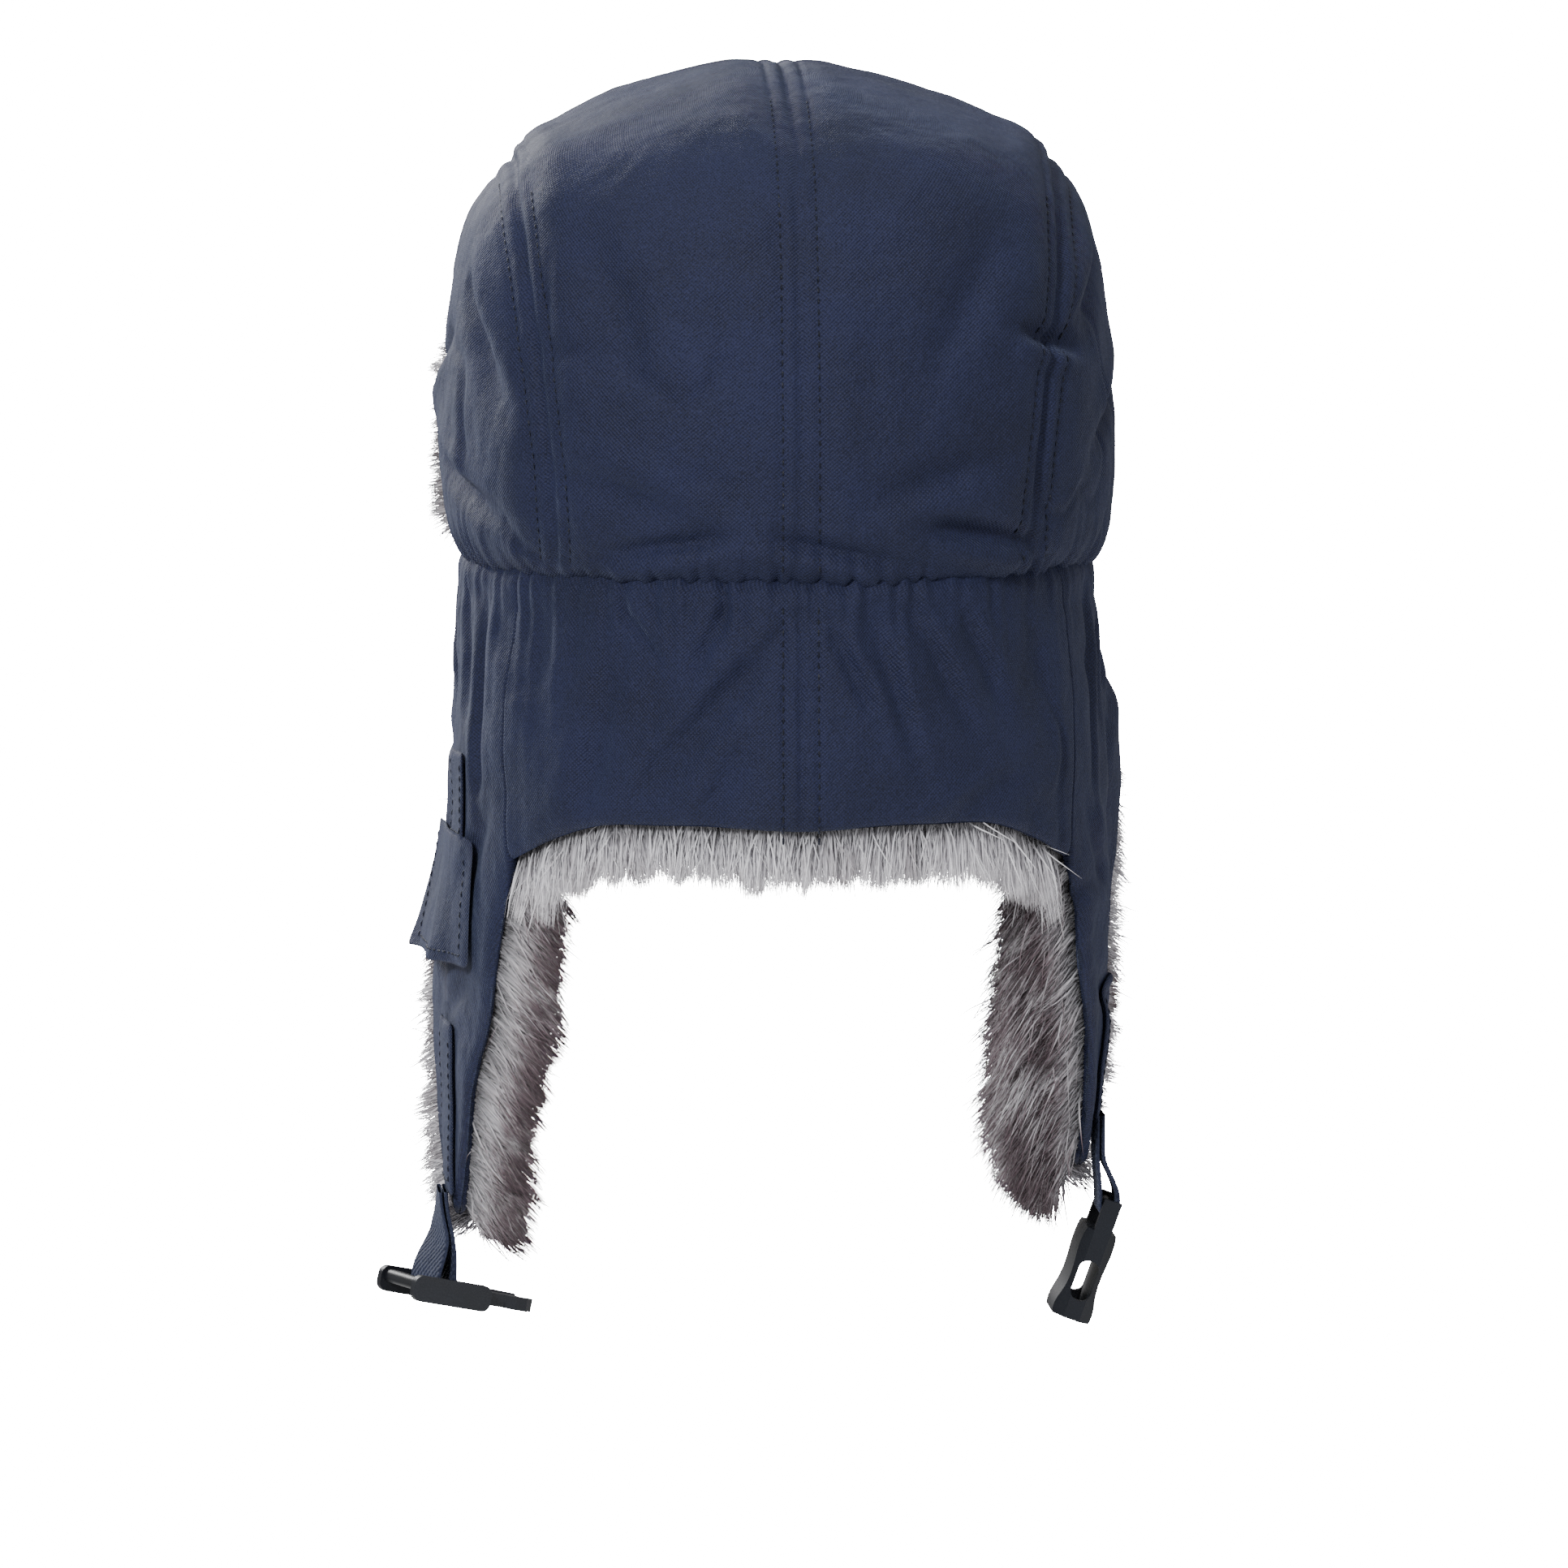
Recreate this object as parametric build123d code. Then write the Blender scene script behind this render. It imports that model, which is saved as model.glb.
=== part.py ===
from build123d import *
import math
import os

# Trapper hat: a puffed crown of four shell panels over wadding and a quilted lining, an elasticated
# head seam, a turned-up front flap, a neck flap and two ear flaps lined with long-pile fur, a vent
# cover on the wearer's left, and two webbing straps that carry the halves of a side-release buckle.
# Millimetres. +Z is up, -Y is the face side, +X is the wearer's left. The origin is the centre of
# the head opening, in the plane where the crown meets the flaps.

os.makedirs("parts", exist_ok=True)

# ---- driving sizes -------------------------------------------------------------------------------
CROWN_HALF_W = 97.5
CROWN_HALF_D = 114.0
CROWN_H = 140.0
EAR_LEN = 193.0
RIGHT_EAR_LEN = 180.0
NECK_LEN = 71.0
FRONT_H = 92.0

SHELL_T = 1.2
CROWN_WAD_T = 7.3
LINING_T = 1.0
SWEAT_T = 1.4
SWEAT_H = 36.0
FLAP_WAD_T = 3.3
FLAP_FUR_T = 12.5
FRONT_WAD_T = 2.3
FRONT_FUR_T = 9.0

CHANNEL_H = 6.0
ELASTIC_H = 3.0
ELASTIC_T = 1.6
FLAP_TOP = -CHANNEL_H - 1.0
SPLIT_Y = 0.5438 * CROWN_HALF_D
BODY_GAP = 0.6
FUR_REACH = 9.0

WEB_W = 20.0
WEB_T = 1.2
BAR_R = 1.6
BAR_PLAY = 0.4
LOOP_MID_R = BAR_R + BAR_PLAY + WEB_T / 2
LOOP_OUT_R = BAR_R + BAR_PLAY + WEB_T
SLOT_REACH = 7.0
BUCKLE_W = WEB_W + 7.0
STRAP_Y = 6.0
LEFT_YAW = 22.0

# Crown sections: height, half width and half depth as shares of the driving sizes, and the
# superellipse power that makes the plan boxier towards the top corners.
CROWN_TABLE = [
    (0.000, 0.935, 0.965, 2.10),
    (0.110, 0.988, 1.000, 2.20),
    (0.285, 1.000, 1.000, 2.35),
    (0.460, 0.970, 0.965, 2.45),
    (0.650, 0.915, 0.890, 2.60),
    (0.790, 0.820, 0.795, 2.75),
    (0.900, 0.590, 0.600, 2.60),
    (0.965, 0.290, 0.330, 2.40),
    (0.997, 0.080, 0.095, 2.20),
]

# Flap sections: drop below the seam as a share of the ear flap's length, then as above.
SKIRT_TABLE = [
    (-0.015, 0.930, 0.962, 2.12),
    (0.180, 0.968, 0.983, 2.12),
    (0.480, 0.990, 0.975, 2.12),
    (0.780, 0.975, 0.940, 2.12),
    (1.100, 0.945, 0.890, 2.12),
]

# The right ear flap hangs a little more inwards at its tip.
RIGHT_SKIRT_TABLE = [
    (-0.015, 0.930, 0.962, 2.12),
    (0.180, 0.968, 0.983, 2.12),
    (0.480, 0.985, 0.975, 2.12),
    (0.780, 0.950, 0.935, 2.12),
    (1.100, 0.885, 0.880, 2.12),
]

# Turned-up front flap, inner face: height as a share of its own height.
FRONT_TABLE = [
    (-0.02, 1.020, 1.018, 2.35),
    (0.43, 1.020, 1.018, 2.35),
    (0.67, 1.000, 0.990, 2.45),
    (1.02, 0.945, 0.915, 2.60),
    (1.10, 0.920, 0.890, 2.62),
]

# Ear flap edge from the front of the head seam, around the tip, to the arch corner: depth as a
# share of the crown's half depth, height as a share of the flap's length.
EAR_EDGE = [
    (-0.560, -0.036),
    (-0.545, -0.155),
    (-0.475, -0.365),
    (-0.390, -0.570),
    (-0.305, -0.725),
    (-0.220, -0.875),
    (-0.115, -0.972),
    (0.020, -1.000),
    (0.135, -0.972),
    (0.215, -0.895),
    (0.295, -0.780),
    (0.430, -0.650),
    (0.502, -0.520),
]

# Neck flap arch: half width and height as shares of the crown's half width and the flap's length.
NECK_EDGE = [
    (-0.86, -1.200),
    (-0.77, -1.110),
    (-0.62, -1.010),
    (-0.40, -0.985),
    (0.00, -1.000),
    (0.40, -0.985),
    (0.62, -1.010),
    (0.77, -1.110),
    (0.86, -1.200),
]

POINTS_ROUND = 16


# ---- shape helpers -------------------------------------------------------------------------------
def section_wire(z, half_w, half_d, power):
    """A closed superellipse at height z."""
    points = []
    for i in range(POINTS_ROUND):
        turn = 2.0 * math.pi * i / POINTS_ROUND
        c = math.cos(turn)
        s = math.sin(turn)
        x = half_w * math.copysign(abs(c) ** (2.0 / power), c)
        y = half_d * math.copysign(abs(s) ** (2.0 / power), s)
        points.append((x, y, z))
    return Wire([Edge.make_spline(points, periodic=True)])


def crown_core(inset):
    """The solid inside the crown's outer face moved in by inset (out, if negative)."""
    wires = []
    for height, wide, deep, power in CROWN_TABLE:
        half_w = wide * CROWN_HALF_W
        half_d = deep * CROWN_HALF_D
        share = min(1.0, half_w / 60.0)
        z = height * (CROWN_H - inset)
        wires.append(section_wire(z, half_w - inset * share, half_d - inset * share, power))
    return Solid.make_loft(wires)


def skirt_core(inset, table=SKIRT_TABLE):
    """The solid inside the flaps' outer face moved in by inset."""
    wires = []
    for drop, wide, deep, power in table:
        half_w = wide * CROWN_HALF_W - inset
        half_d = deep * CROWN_HALF_D - inset
        wires.append(section_wire(-drop * EAR_LEN, half_w, half_d, power))
    return Solid.make_loft(wires)


def front_core(outset):
    """The solid inside the turned-up front flap's inner face moved out by outset."""
    wires = []
    for height, wide, deep, power in FRONT_TABLE:
        half_w = wide * CROWN_HALF_W + outset
        half_d = deep * CROWN_HALF_D + outset
        wires.append(section_wire(height * FRONT_H, half_w, half_d, power))
    return Solid.make_loft(wires)


def box_between(x0, x1, y0, y1, z0, z1):
    """A box given by its two corners."""
    block = Solid.make_box(x1 - x0, y1 - y0, z1 - z0)
    return block.moved(Location((x0, y0, z0)))


def prism_along_x(points, x0, x1):
    """A closed outline of (y, z) points, straight-sided, pushed from x0 to x1."""
    corners = [(x0, y, z) for y, z in points]
    face = Face(Wire.make_polygon(corners, close=True))
    return Solid.extrude(face, Vector(x1 - x0, 0, 0))


def prism_along_y(points, y0, y1):
    """A closed outline of (x, z) points, straight-sided, pushed from y0 to y1."""
    corners = [(x, y0, z) for x, z in points]
    face = Face(Wire.make_polygon(corners, close=True))
    return Solid.extrude(face, Vector(0, y1 - y0, 0))


def grown(points, amount):
    """An open run of points moved to its right-hand side by amount."""
    moved = []
    last = len(points) - 1
    for i, (u, v) in enumerate(points):
        before = points[max(0, i - 1)]
        after = points[min(last, i + 1)]
        du = after[0] - before[0]
        dv = after[1] - before[1]
        size = math.hypot(du, dv)
        moved.append((u + amount * dv / size, v - amount * du / size))
    return moved


def smooth_run(points, steps):
    """More points along a run, on a Catmull-Rom curve through the given ones."""
    run = []
    last = len(points) - 1
    for i in range(last):
        p0 = points[max(0, i - 1)]
        p1 = points[i]
        p2 = points[i + 1]
        p3 = points[min(last, i + 2)]
        for k in range(steps):
            t = k / steps
            pair = []
            for a, b, c, d in zip(p0, p1, p2, p3):
                flat = 2.0 * b + (c - a) * t
                bend = (2.0 * a - 5.0 * b + 4.0 * c - d) * t * t
                twist = (3.0 * b - a - 3.0 * c + d) * t * t * t
                pair.append(0.5 * (flat + bend + twist))
            run.append(tuple(pair))
    run.append(points[last])
    return run


def spline_prism(run, top, side_axis, low, high):
    """An outline closed by a smooth run below and straight lines to the height top above it."""
    first = run[0]
    end = run[-1]

    def place(u, v):
        if side_axis == "x":
            return (low, u, v)
        return (u, low, v)

    curve = Edge.make_spline([place(u, v) for u, v in run])
    rise = Edge.make_line(place(*end), place(end[0], top))
    across = Edge.make_line(place(end[0], top), place(first[0], top))
    fall = Edge.make_line(place(first[0], top), place(*first))
    face = Face(Wire([curve, rise, across, fall]))
    if side_axis == "x":
        return Solid.extrude(face, Vector(high - low, 0, 0))
    return Solid.extrude(face, Vector(0, high - low, 0))


def mirrored_x(shape):
    """The same shape on the other side of the plane x = 0."""
    return shape.mirror(Plane.YZ)


def only_solid(shape):
    """The largest solid of a boolean result."""
    return max(shape.solids(), key=lambda s: s.volume)


def save(name, shape):
    solid = only_solid(shape)
    solid.label = name
    export_step(solid, "parts/" + name + ".step")
    return solid


# ---- crown ---------------------------------------------------------------------------------------
crown_outer = crown_core(0.0)
crown_under_shell = crown_core(SHELL_T)
crown_under_wad = crown_core(SHELL_T + CROWN_WAD_T)
crown_inside = crown_core(SHELL_T + CROWN_WAD_T + LINING_T)
lining_inset = SHELL_T + CROWN_WAD_T + LINING_T
crown_shell = crown_outer - crown_under_shell

seam_top_x = 0.790 * CROWN_HALF_W
seam_low_x = 0.695 * CROWN_HALF_W
far = 3.0 * CROWN_HALF_W
seam_run = [
    (0.0, -1.0),
    (seam_low_x, -1.0),
    (seam_top_x, 0.80 * CROWN_H),
    (seam_top_x, CROWN_H + 5.0),
    (0.0, CROWN_H + 5.0),
]
centre_prism = prism_along_y(seam_run, -far, far)
side_run = [
    (seam_low_x, -1.0),
    (far, -1.0),
    (far, CROWN_H + 5.0),
    (seam_top_x, CROWN_H + 5.0),
    (seam_top_x, 0.80 * CROWN_H),
]
side_prism = prism_along_y(side_run, -far, far)
save("crown_panel_left", crown_shell & centre_prism)
save("crown_panel_right", crown_shell & mirrored_x(centre_prism))
save("crown_side_left", crown_shell & side_prism)
save("crown_side_right", crown_shell & mirrored_x(side_prism))
save("crown_wadding", crown_under_shell - crown_under_wad)
save("crown_lining", crown_under_wad - crown_inside)

sweat_core = crown_core(lining_inset + SWEAT_T)
sweat_zone = box_between(-far, far, -far, far, 1.0, SWEAT_H)
save("sweatband", (crown_inside - sweat_core) & sweat_zone)

label_core = crown_core(lining_inset + 0.5)
label_zone = box_between(-16.0, 16.0, 0.0, far, SWEAT_H + 6.0, SWEAT_H + 26.0)
save("blank_label", (crown_inside - label_core) & label_zone)

patch_core = crown_core(-0.7)
patch_zone = box_between(-28.0, 28.0, -far, 0.0, 0.62 * FRONT_H, 0.88 * FRONT_H)
save("crown_loop_patch", (patch_core - crown_outer) & patch_zone)

# The head seam: a fabric channel that closes the crown's lower edge, with the elastic inside it.
seam_w = 0.935 * CROWN_HALF_W
seam_d = 0.965 * CROWN_HALF_D


def seam_ring(inset_out, inset_in, z0, z1):
    """A band around the head opening between two insets and two heights."""
    outer = section_wire(z0, seam_w - inset_out, seam_d - inset_out, 2.10)
    inner = section_wire(z0, seam_w - inset_in, seam_d - inset_in, 2.10)
    rise = Vector(0, 0, z1 - z0)
    return Solid.extrude(Face(outer), rise) - Solid.extrude(Face(inner), rise)


channel = seam_ring(1.5, lining_inset + SWEAT_T, -CHANNEL_H, 0.0)
elastic_low = -0.5 * (CHANNEL_H + ELASTIC_H)
elastic_in = 5.0 + ELASTIC_T
elastic = seam_ring(5.0, elastic_in, elastic_low, elastic_low + ELASTIC_H)
save("seam_channel", channel - elastic)
save("seam_elastic", elastic)

# ---- neck and ear flaps --------------------------------------------------------------------------
skirt_outer = skirt_core(0.0)
skirt_under_shell = skirt_core(SHELL_T)
skirt_under_wad = skirt_core(SHELL_T + FLAP_WAD_T)
skirt_fur_face = skirt_core(SHELL_T + FLAP_WAD_T + FLAP_FUR_T)
flap_shell = skirt_outer - skirt_under_shell
flap_wad = skirt_under_shell - skirt_under_wad
flap_fur = skirt_under_wad - skirt_fur_face

neck_front_y = SPLIT_Y + BODY_GAP / 2
ear_back_y = SPLIT_Y - BODY_GAP / 2
neck_run = [(wide * CROWN_HALF_W, high * NECK_LEN) for wide, high in NECK_EDGE]
neck_run = smooth_run(neck_run, 3)
neck_prism = spline_prism(neck_run, FLAP_TOP, "y", neck_front_y, far)
fur_run = [(x, z - 2.0 * FUR_REACH) for x, z in neck_run]
neck_fur_prism = spline_prism(fur_run, FLAP_TOP, "y", neck_front_y, far)
left_half = box_between(0.0, far, -far, far, -2.0 * EAR_LEN, CROWN_H)
neck_shell = flap_shell & neck_prism
save("neck_shell_left", neck_shell & left_half)
save("neck_shell_right", neck_shell & mirrored_x(left_half))
save("neck_wadding", flap_wad & neck_prism)
save("neck_fur", flap_fur & neck_fur_prism)


def ear_prisms(length):
    """The outlines of one ear flap's cloth and of its longer fur, pushed across the left side."""
    cloth = [(deep * CROWN_HALF_D, high * length) for deep, high in EAR_EDGE]
    corner_z = -1.150 * NECK_LEN
    cloth.append((ear_back_y, corner_z))
    fur = grown(cloth, FUR_REACH)
    fur[0] = (cloth[0][0] - FUR_REACH, FLAP_TOP - 1.0)
    fur[-1] = (ear_back_y, corner_z - 2.0 * FUR_REACH)
    fur[-2] = (min(fur[-2][0], ear_back_y - 2.0), fur[-2][1] - 6.0)
    cloth[0] = (cloth[0][0], FLAP_TOP - 1.0)
    cloth = smooth_run(cloth, 3)
    fur = smooth_run(fur, 3)
    cloth_prism = spline_prism(cloth, FLAP_TOP, "x", 5.0, far)
    fur_prism = spline_prism(fur, FLAP_TOP, "x", 5.0, far)
    return cloth_prism, fur_prism


ear_prism, ear_fur_prism = ear_prisms(EAR_LEN)
left_ear_shell = flap_shell & ear_prism
save("left_ear_shell", left_ear_shell)
save("left_ear_wadding", flap_wad & ear_prism)
save("left_ear_fur", flap_fur & ear_fur_prism)
ear_prism, ear_fur_prism = ear_prisms(RIGHT_EAR_LEN)
right_outer_face = skirt_core(0.0, RIGHT_SKIRT_TABLE)
right_under_shell = skirt_core(SHELL_T, RIGHT_SKIRT_TABLE)
right_under_wad = skirt_core(SHELL_T + FLAP_WAD_T, RIGHT_SKIRT_TABLE)
right_fur_face = skirt_core(SHELL_T + FLAP_WAD_T + FLAP_FUR_T, RIGHT_SKIRT_TABLE)
save("right_ear_shell", mirrored_x((right_outer_face - right_under_shell) & ear_prism))
save("right_ear_wadding", mirrored_x((right_under_shell - right_under_wad) & ear_prism))
save("right_ear_fur", mirrored_x((right_under_wad - right_fur_face) & ear_fur_prism))

# Vent on the wearer's left: a mesh disc and a hook patch on the flap, a pull tab above them, and a
# cover that lies over both and lifts at its lower edge.
cover_top = -0.410 * EAR_LEN
cover_low = -0.620 * EAR_LEN
cover_front = -26.0
cover_back = 40.0
cover_in = skirt_core(-1.3)
cover_out = skirt_core(-3.3)
raised = skirt_core(-0.8)
mesh_zone = box_between(0.0, far, 0.0, 22.0, cover_top - 24.0, cover_top - 8.0)
save("vent_mesh", (raised - skirt_outer) & mesh_zone)
hook_zone = box_between(0.0, far, -8.0, 30.0, cover_low + 4.0, cover_low + 12.0)
save("vent_hook_patch", (raised - skirt_outer) & hook_zone)
cover_run = [
    (cover_front + 4.0, cover_top),
    (cover_back - 4.0, cover_top),
    (cover_back, cover_low + 6.0),
    (cover_back - 6.0, cover_low),
    (cover_front + 6.0, cover_low),
    (cover_front, cover_low + 6.0),
]
save("vent_cover", (cover_out - cover_in) & prism_along_x(cover_run, 0.0, far))
tab_out = skirt_core(-2.6)
tab_run = [
    (18.0, cover_top + 1.5),
    (36.0, cover_top + 1.5),
    (36.0, cover_top + 20.0),
    (32.0, cover_top + 24.0),
    (22.0, cover_top + 24.0),
    (18.0, cover_top + 20.0),
]
save("vent_tab", (tab_out - skirt_outer) & prism_along_x(tab_run, 0.0, far))

# Strap casings: flat sleeves on the ear flaps that the webbing leaves at their lower ends.
casing_out = skirt_core(-2.4)
right_casing_out = skirt_core(-2.4, RIGHT_SKIRT_TABLE)
casing_half = WEB_W / 2 + 3.0
left_casing_low = -0.962 * EAR_LEN
left_casing_top = -0.745 * EAR_LEN
right_casing_low = -0.915 * RIGHT_EAR_LEN
right_casing_top = -0.680 * RIGHT_EAR_LEN


def casing_zone(z0, z1):
    return box_between(0.0, far, STRAP_Y - casing_half, STRAP_Y + casing_half, z0, z1)


left_casing = (casing_out - skirt_outer) & casing_zone(left_casing_low, left_casing_top)
right_casing = right_casing_out - right_outer_face
right_casing = right_casing & casing_zone(right_casing_low, right_casing_top)
save("left_strap_casing", left_casing)
save("right_strap_casing", mirrored_x(right_casing))

# ---- front flap ----------------------------------------------------------------------------------
front_face = front_core(0.0)
front_under_shell = front_core(SHELL_T)
front_under_wad = front_core(SHELL_T + FRONT_WAD_T)
front_fur_face = front_core(SHELL_T + FRONT_WAD_T + FRONT_FUR_T)
front_end_y = -0.70 * CROWN_HALF_D
front_low = 3.0
corner = 18.0
half_w = CROWN_HALF_W
front_run = [
    (-half_w - 20.0, front_low),
    (half_w + 20.0, front_low),
    (half_w + 20.0, FRONT_H - 2.2 * corner),
    (half_w - corner, FRONT_H - 0.9 * corner),
    (half_w - 2.4 * corner, FRONT_H),
    (-half_w + 2.4 * corner, FRONT_H),
    (-half_w + corner, FRONT_H - 0.9 * corner),
    (-half_w - 20.0, FRONT_H - 2.2 * corner),
]
front_prism = prism_along_y(front_run, -far, front_end_y)
save("front_flap_shell", (front_under_shell - front_face) & front_prism)
save("front_flap_wadding", (front_under_wad - front_under_shell) & front_prism)
save("front_flap_fur", (front_fur_face - front_under_wad) & front_prism)
hook_zone = box_between(-26.0, 26.0, -far, 0.0, 0.64 * FRONT_H, 0.86 * FRONT_H)
save("front_hook_patch", (front_face - front_core(-0.7)) & hook_zone)

# ---- straps --------------------------------------------------------------------------------------
strap_y0 = STRAP_Y - WEB_W / 2


def web_loop(drop):
    """Doubled webbing that hangs from the height drop around a bar at the local origin."""
    outer = Solid.make_cylinder(LOOP_OUT_R, WEB_W, Plane((0, strap_y0, 0), z_dir=(0, 1, 0)))
    inner_r = LOOP_OUT_R - WEB_T
    inner = Solid.make_cylinder(inner_r, WEB_W, Plane((0, strap_y0, 0), z_dir=(0, 1, 0)))
    y1 = strap_y0 + WEB_W
    solid_leg = box_between(-LOOP_OUT_R, LOOP_OUT_R, strap_y0, y1, 0.0, drop)
    gap_leg = box_between(-inner_r, inner_r, strap_y0, y1, 0.0, drop)
    return (outer + solid_leg) - (inner + gap_leg)


def halves(loop, drop):
    """The loop cut into its outer and inner runs of webbing, at the foot of the turn."""
    high = box_between(0.0, 20.0, -far, far, -20.0, drop + 20.0)
    low = box_between(-20.0, 0.0, -far, far, -20.0, drop + 20.0)
    return loop & high, loop & low


strap_x = 1.030 * CROWN_HALF_W
left_bar_z = left_casing_low - 28.5
left_drop = left_casing_low - 0.6 - left_bar_z
left_loop = web_loop(left_drop)
left_place = Location((strap_x, STRAP_Y, left_bar_z)) * Location((0, 0, 0), (0, 0, LEFT_YAW))
left_place = left_place * Location((0, -STRAP_Y, 0))
left_outer, left_inner = halves(left_loop, left_drop)
save("left_strap_outer", left_outer.moved(left_place))
save("left_strap_inner", left_inner.moved(left_place))

right_x = -0.985 * CROWN_HALF_W
right_bar_z = right_casing_low - 26.5
right_drop = right_casing_low - 0.6 - right_bar_z
right_loop = web_loop(right_drop)
right_place = Location((right_x, 0, right_bar_z))
right_inner, right_outer = halves(right_loop, right_drop)
save("right_strap_outer", right_outer.moved(right_place))
save("right_strap_inner", right_inner.moved(right_place))

# ---- side-release buckle, male half --------------------------------------------------------------
# Local frame: the ladder bar that carries the strap is the Y axis, the plug points along -X and the
# plate's normal is Z. The whole half is then tipped about the bar.
MALE_T = 5.0
RAIL_T = 2.7
RAIL_H = 7.6
MALE_TIP = 12.0
OUTER_END = 12.3
BASE_END = -12.5
PLUG_END = -28.7
half_b = BUCKLE_W / 2
slot_half = WEB_W / 2 + 0.8


def round_bar(radius, length, x=0.0, z=0.0):
    plane = Plane((x, STRAP_Y - length / 2, z), z_dir=(0, 1, 0))
    return Solid.make_cylinder(radius, length, plane)


def local_box(x0, x1, y0, y1, z0, z1):
    return box_between(x0, x1, STRAP_Y + y0, STRAP_Y + y1, z0, z1)


def edges_along(shape, axis):
    return [e for e in shape.edges() if abs(getattr(e.tangent_at(0.5), axis)) > 0.9]


def side_rail(y0, y1):
    """One tall side of the ladder frame, rounded at both ends."""
    rail = local_box(BASE_END, OUTER_END, y0, y1, -RAIL_H / 2, RAIL_H / 2)
    return rail.fillet(2.6, edges_along(rail, "Y"))


rail_back = side_rail(half_b - RAIL_T, half_b)
rail_front = side_rail(-half_b, -half_b + RAIL_T)
cross_half = half_b - RAIL_T / 2
outer_block = local_box(OUTER_END - 4.9, OUTER_END - 0.9, -cross_half, cross_half, -1.0, 2.9)
outer_block = outer_block.fillet(1.6, edges_along(outer_block, "Y"))
base_block = local_box(BASE_END, -SLOT_REACH, -cross_half, cross_half, -MALE_T / 2, MALE_T / 2)
base_block = base_block.fillet(1.5, edges_along(base_block, "Y"))
frame = rail_back + rail_front + outer_block + base_block
frame = frame + round_bar(BAR_R, 2.0 * cross_half)
guide = local_box(PLUG_END + 2.0, BASE_END + 1.0, -2.1, 2.1, -1.7, 1.7)
guide = guide.fillet(1.0, edges_along(guide, "X"))
frame = frame + guide
male_place = Location((strap_x, STRAP_Y, left_bar_z)) * Location((0, 0, 0), (0, 0, LEFT_YAW))
male_place = male_place * Location((0, 0, 0), (0, -MALE_TIP, 0)) * Location((0, -STRAP_Y, 0))
save("male_frame", frame.moved(male_place))

ARM_T = 2.0
ARM_Y = 8.6
ARM_GAP = 0.5
ARM_HEAD_Y = 11.4


def latch_arm(side):
    """A springy arm beside the guide, with a barbed thumb pad at its free end."""
    outline = [
        (BASE_END - ARM_GAP, ARM_Y - ARM_T),
        (BASE_END - ARM_GAP, ARM_Y),
        (BASE_END - 6.5, ARM_Y),
        (BASE_END - 9.0, ARM_HEAD_Y),
        (PLUG_END + 3.5, ARM_HEAD_Y - 0.6),
        (PLUG_END, ARM_Y - 1.8),
        (PLUG_END, ARM_Y - 3.2),
        (PLUG_END + 4.0, ARM_Y - 3.0),
        (BASE_END - 6.0, ARM_Y - ARM_T),
    ]
    corners = [(x, STRAP_Y + side * y, -MALE_T / 2 + 0.6) for x, y in outline]
    face = Face(Wire.make_polygon(corners, close=True))
    arm = Solid.extrude(face, Vector(0, 0, MALE_T - 1.2))
    return arm


save("latch_back", latch_arm(1.0).moved(male_place))
save("latch_front", latch_arm(-1.0).moved(male_place))

# ---- side-release buckle, female half ------------------------------------------------------------
# Local frame: the strap bar is the Y axis and the body hangs along -Z, thin along X.
FEMALE_TIP = 20.0
BODY_TOP = -SLOT_REACH
BODY_LOW = -34.0
SOCKET_T = 6.0
SOCKET_HALF = BUCKLE_W / 2 - 2.5
# Half thickness down the body: a shoulder, a waist for the fingers and a flared mouth.
WAIST_RUN = [
    (4.4, BODY_TOP),
    (5.0, -13.0),
    (4.5, -20.0),
    (4.9, -26.0),
    (5.9, -31.0),
    (5.6, BODY_LOW),
]
side_a = [(x, half_b * -1.0 + STRAP_Y, z) for x, z in WAIST_RUN]
side_b = [(-x, half_b * -1.0 + STRAP_Y, z) for x, z in WAIST_RUN]
flank_a = Edge.make_spline(side_a)
flank_b = Edge.make_spline(side_b)
lip = Edge.make_line(side_a[-1], side_b[-1])
brow = Edge.make_line(side_b[0], side_a[0])
profile = Face(Wire([flank_a, lip, flank_b, brow]))
body = Solid.extrude(profile, Vector(0, BUCKLE_W, 0))
socket = local_box(-SOCKET_T / 2, SOCKET_T / 2, -SOCKET_HALF, SOCKET_HALF, BODY_LOW - 1.0, -11.0)
side_window = local_box(-SOCKET_T / 2, SOCKET_T / 2, -half_b - 1.0, half_b + 1.0, -28.0, -16.0)
side_window = side_window.fillet(2.6, edges_along(side_window, "Y"))
body = body - socket - side_window
for turn_y in (-1.0, 1.0):
    for turn_x in (-1.0, 1.0):
        edge_x = turn_x * 7.0
        edge_y = STRAP_Y + turn_y * half_b
        wedge = [(edge_x, edge_y), (edge_x - turn_x * 4.6, edge_y), (edge_x, edge_y - turn_y * 4.6)]
        face = Face(Wire.make_polygon([(x, y, BODY_LOW - 1.0) for x, y in wedge], close=True))
        body = body - Solid.extrude(face, Vector(0, 0, 40.0))
ear_a = local_box(-2.6, 2.6, slot_half, half_b, BODY_TOP - 0.5, 2.6)
ear_b = local_box(-2.6, 2.6, -half_b, -slot_half, BODY_TOP - 0.5, 2.6)
bar = round_bar(BAR_R, 2.0 * slot_half + 1.0)
female = body + ear_a + ear_b + bar
female_place = Location((right_x, 0, right_bar_z)) * Location((0, 0, 0), (0, -FEMALE_TIP, 0))
save("female_body", female.moved(female_place))
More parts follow.
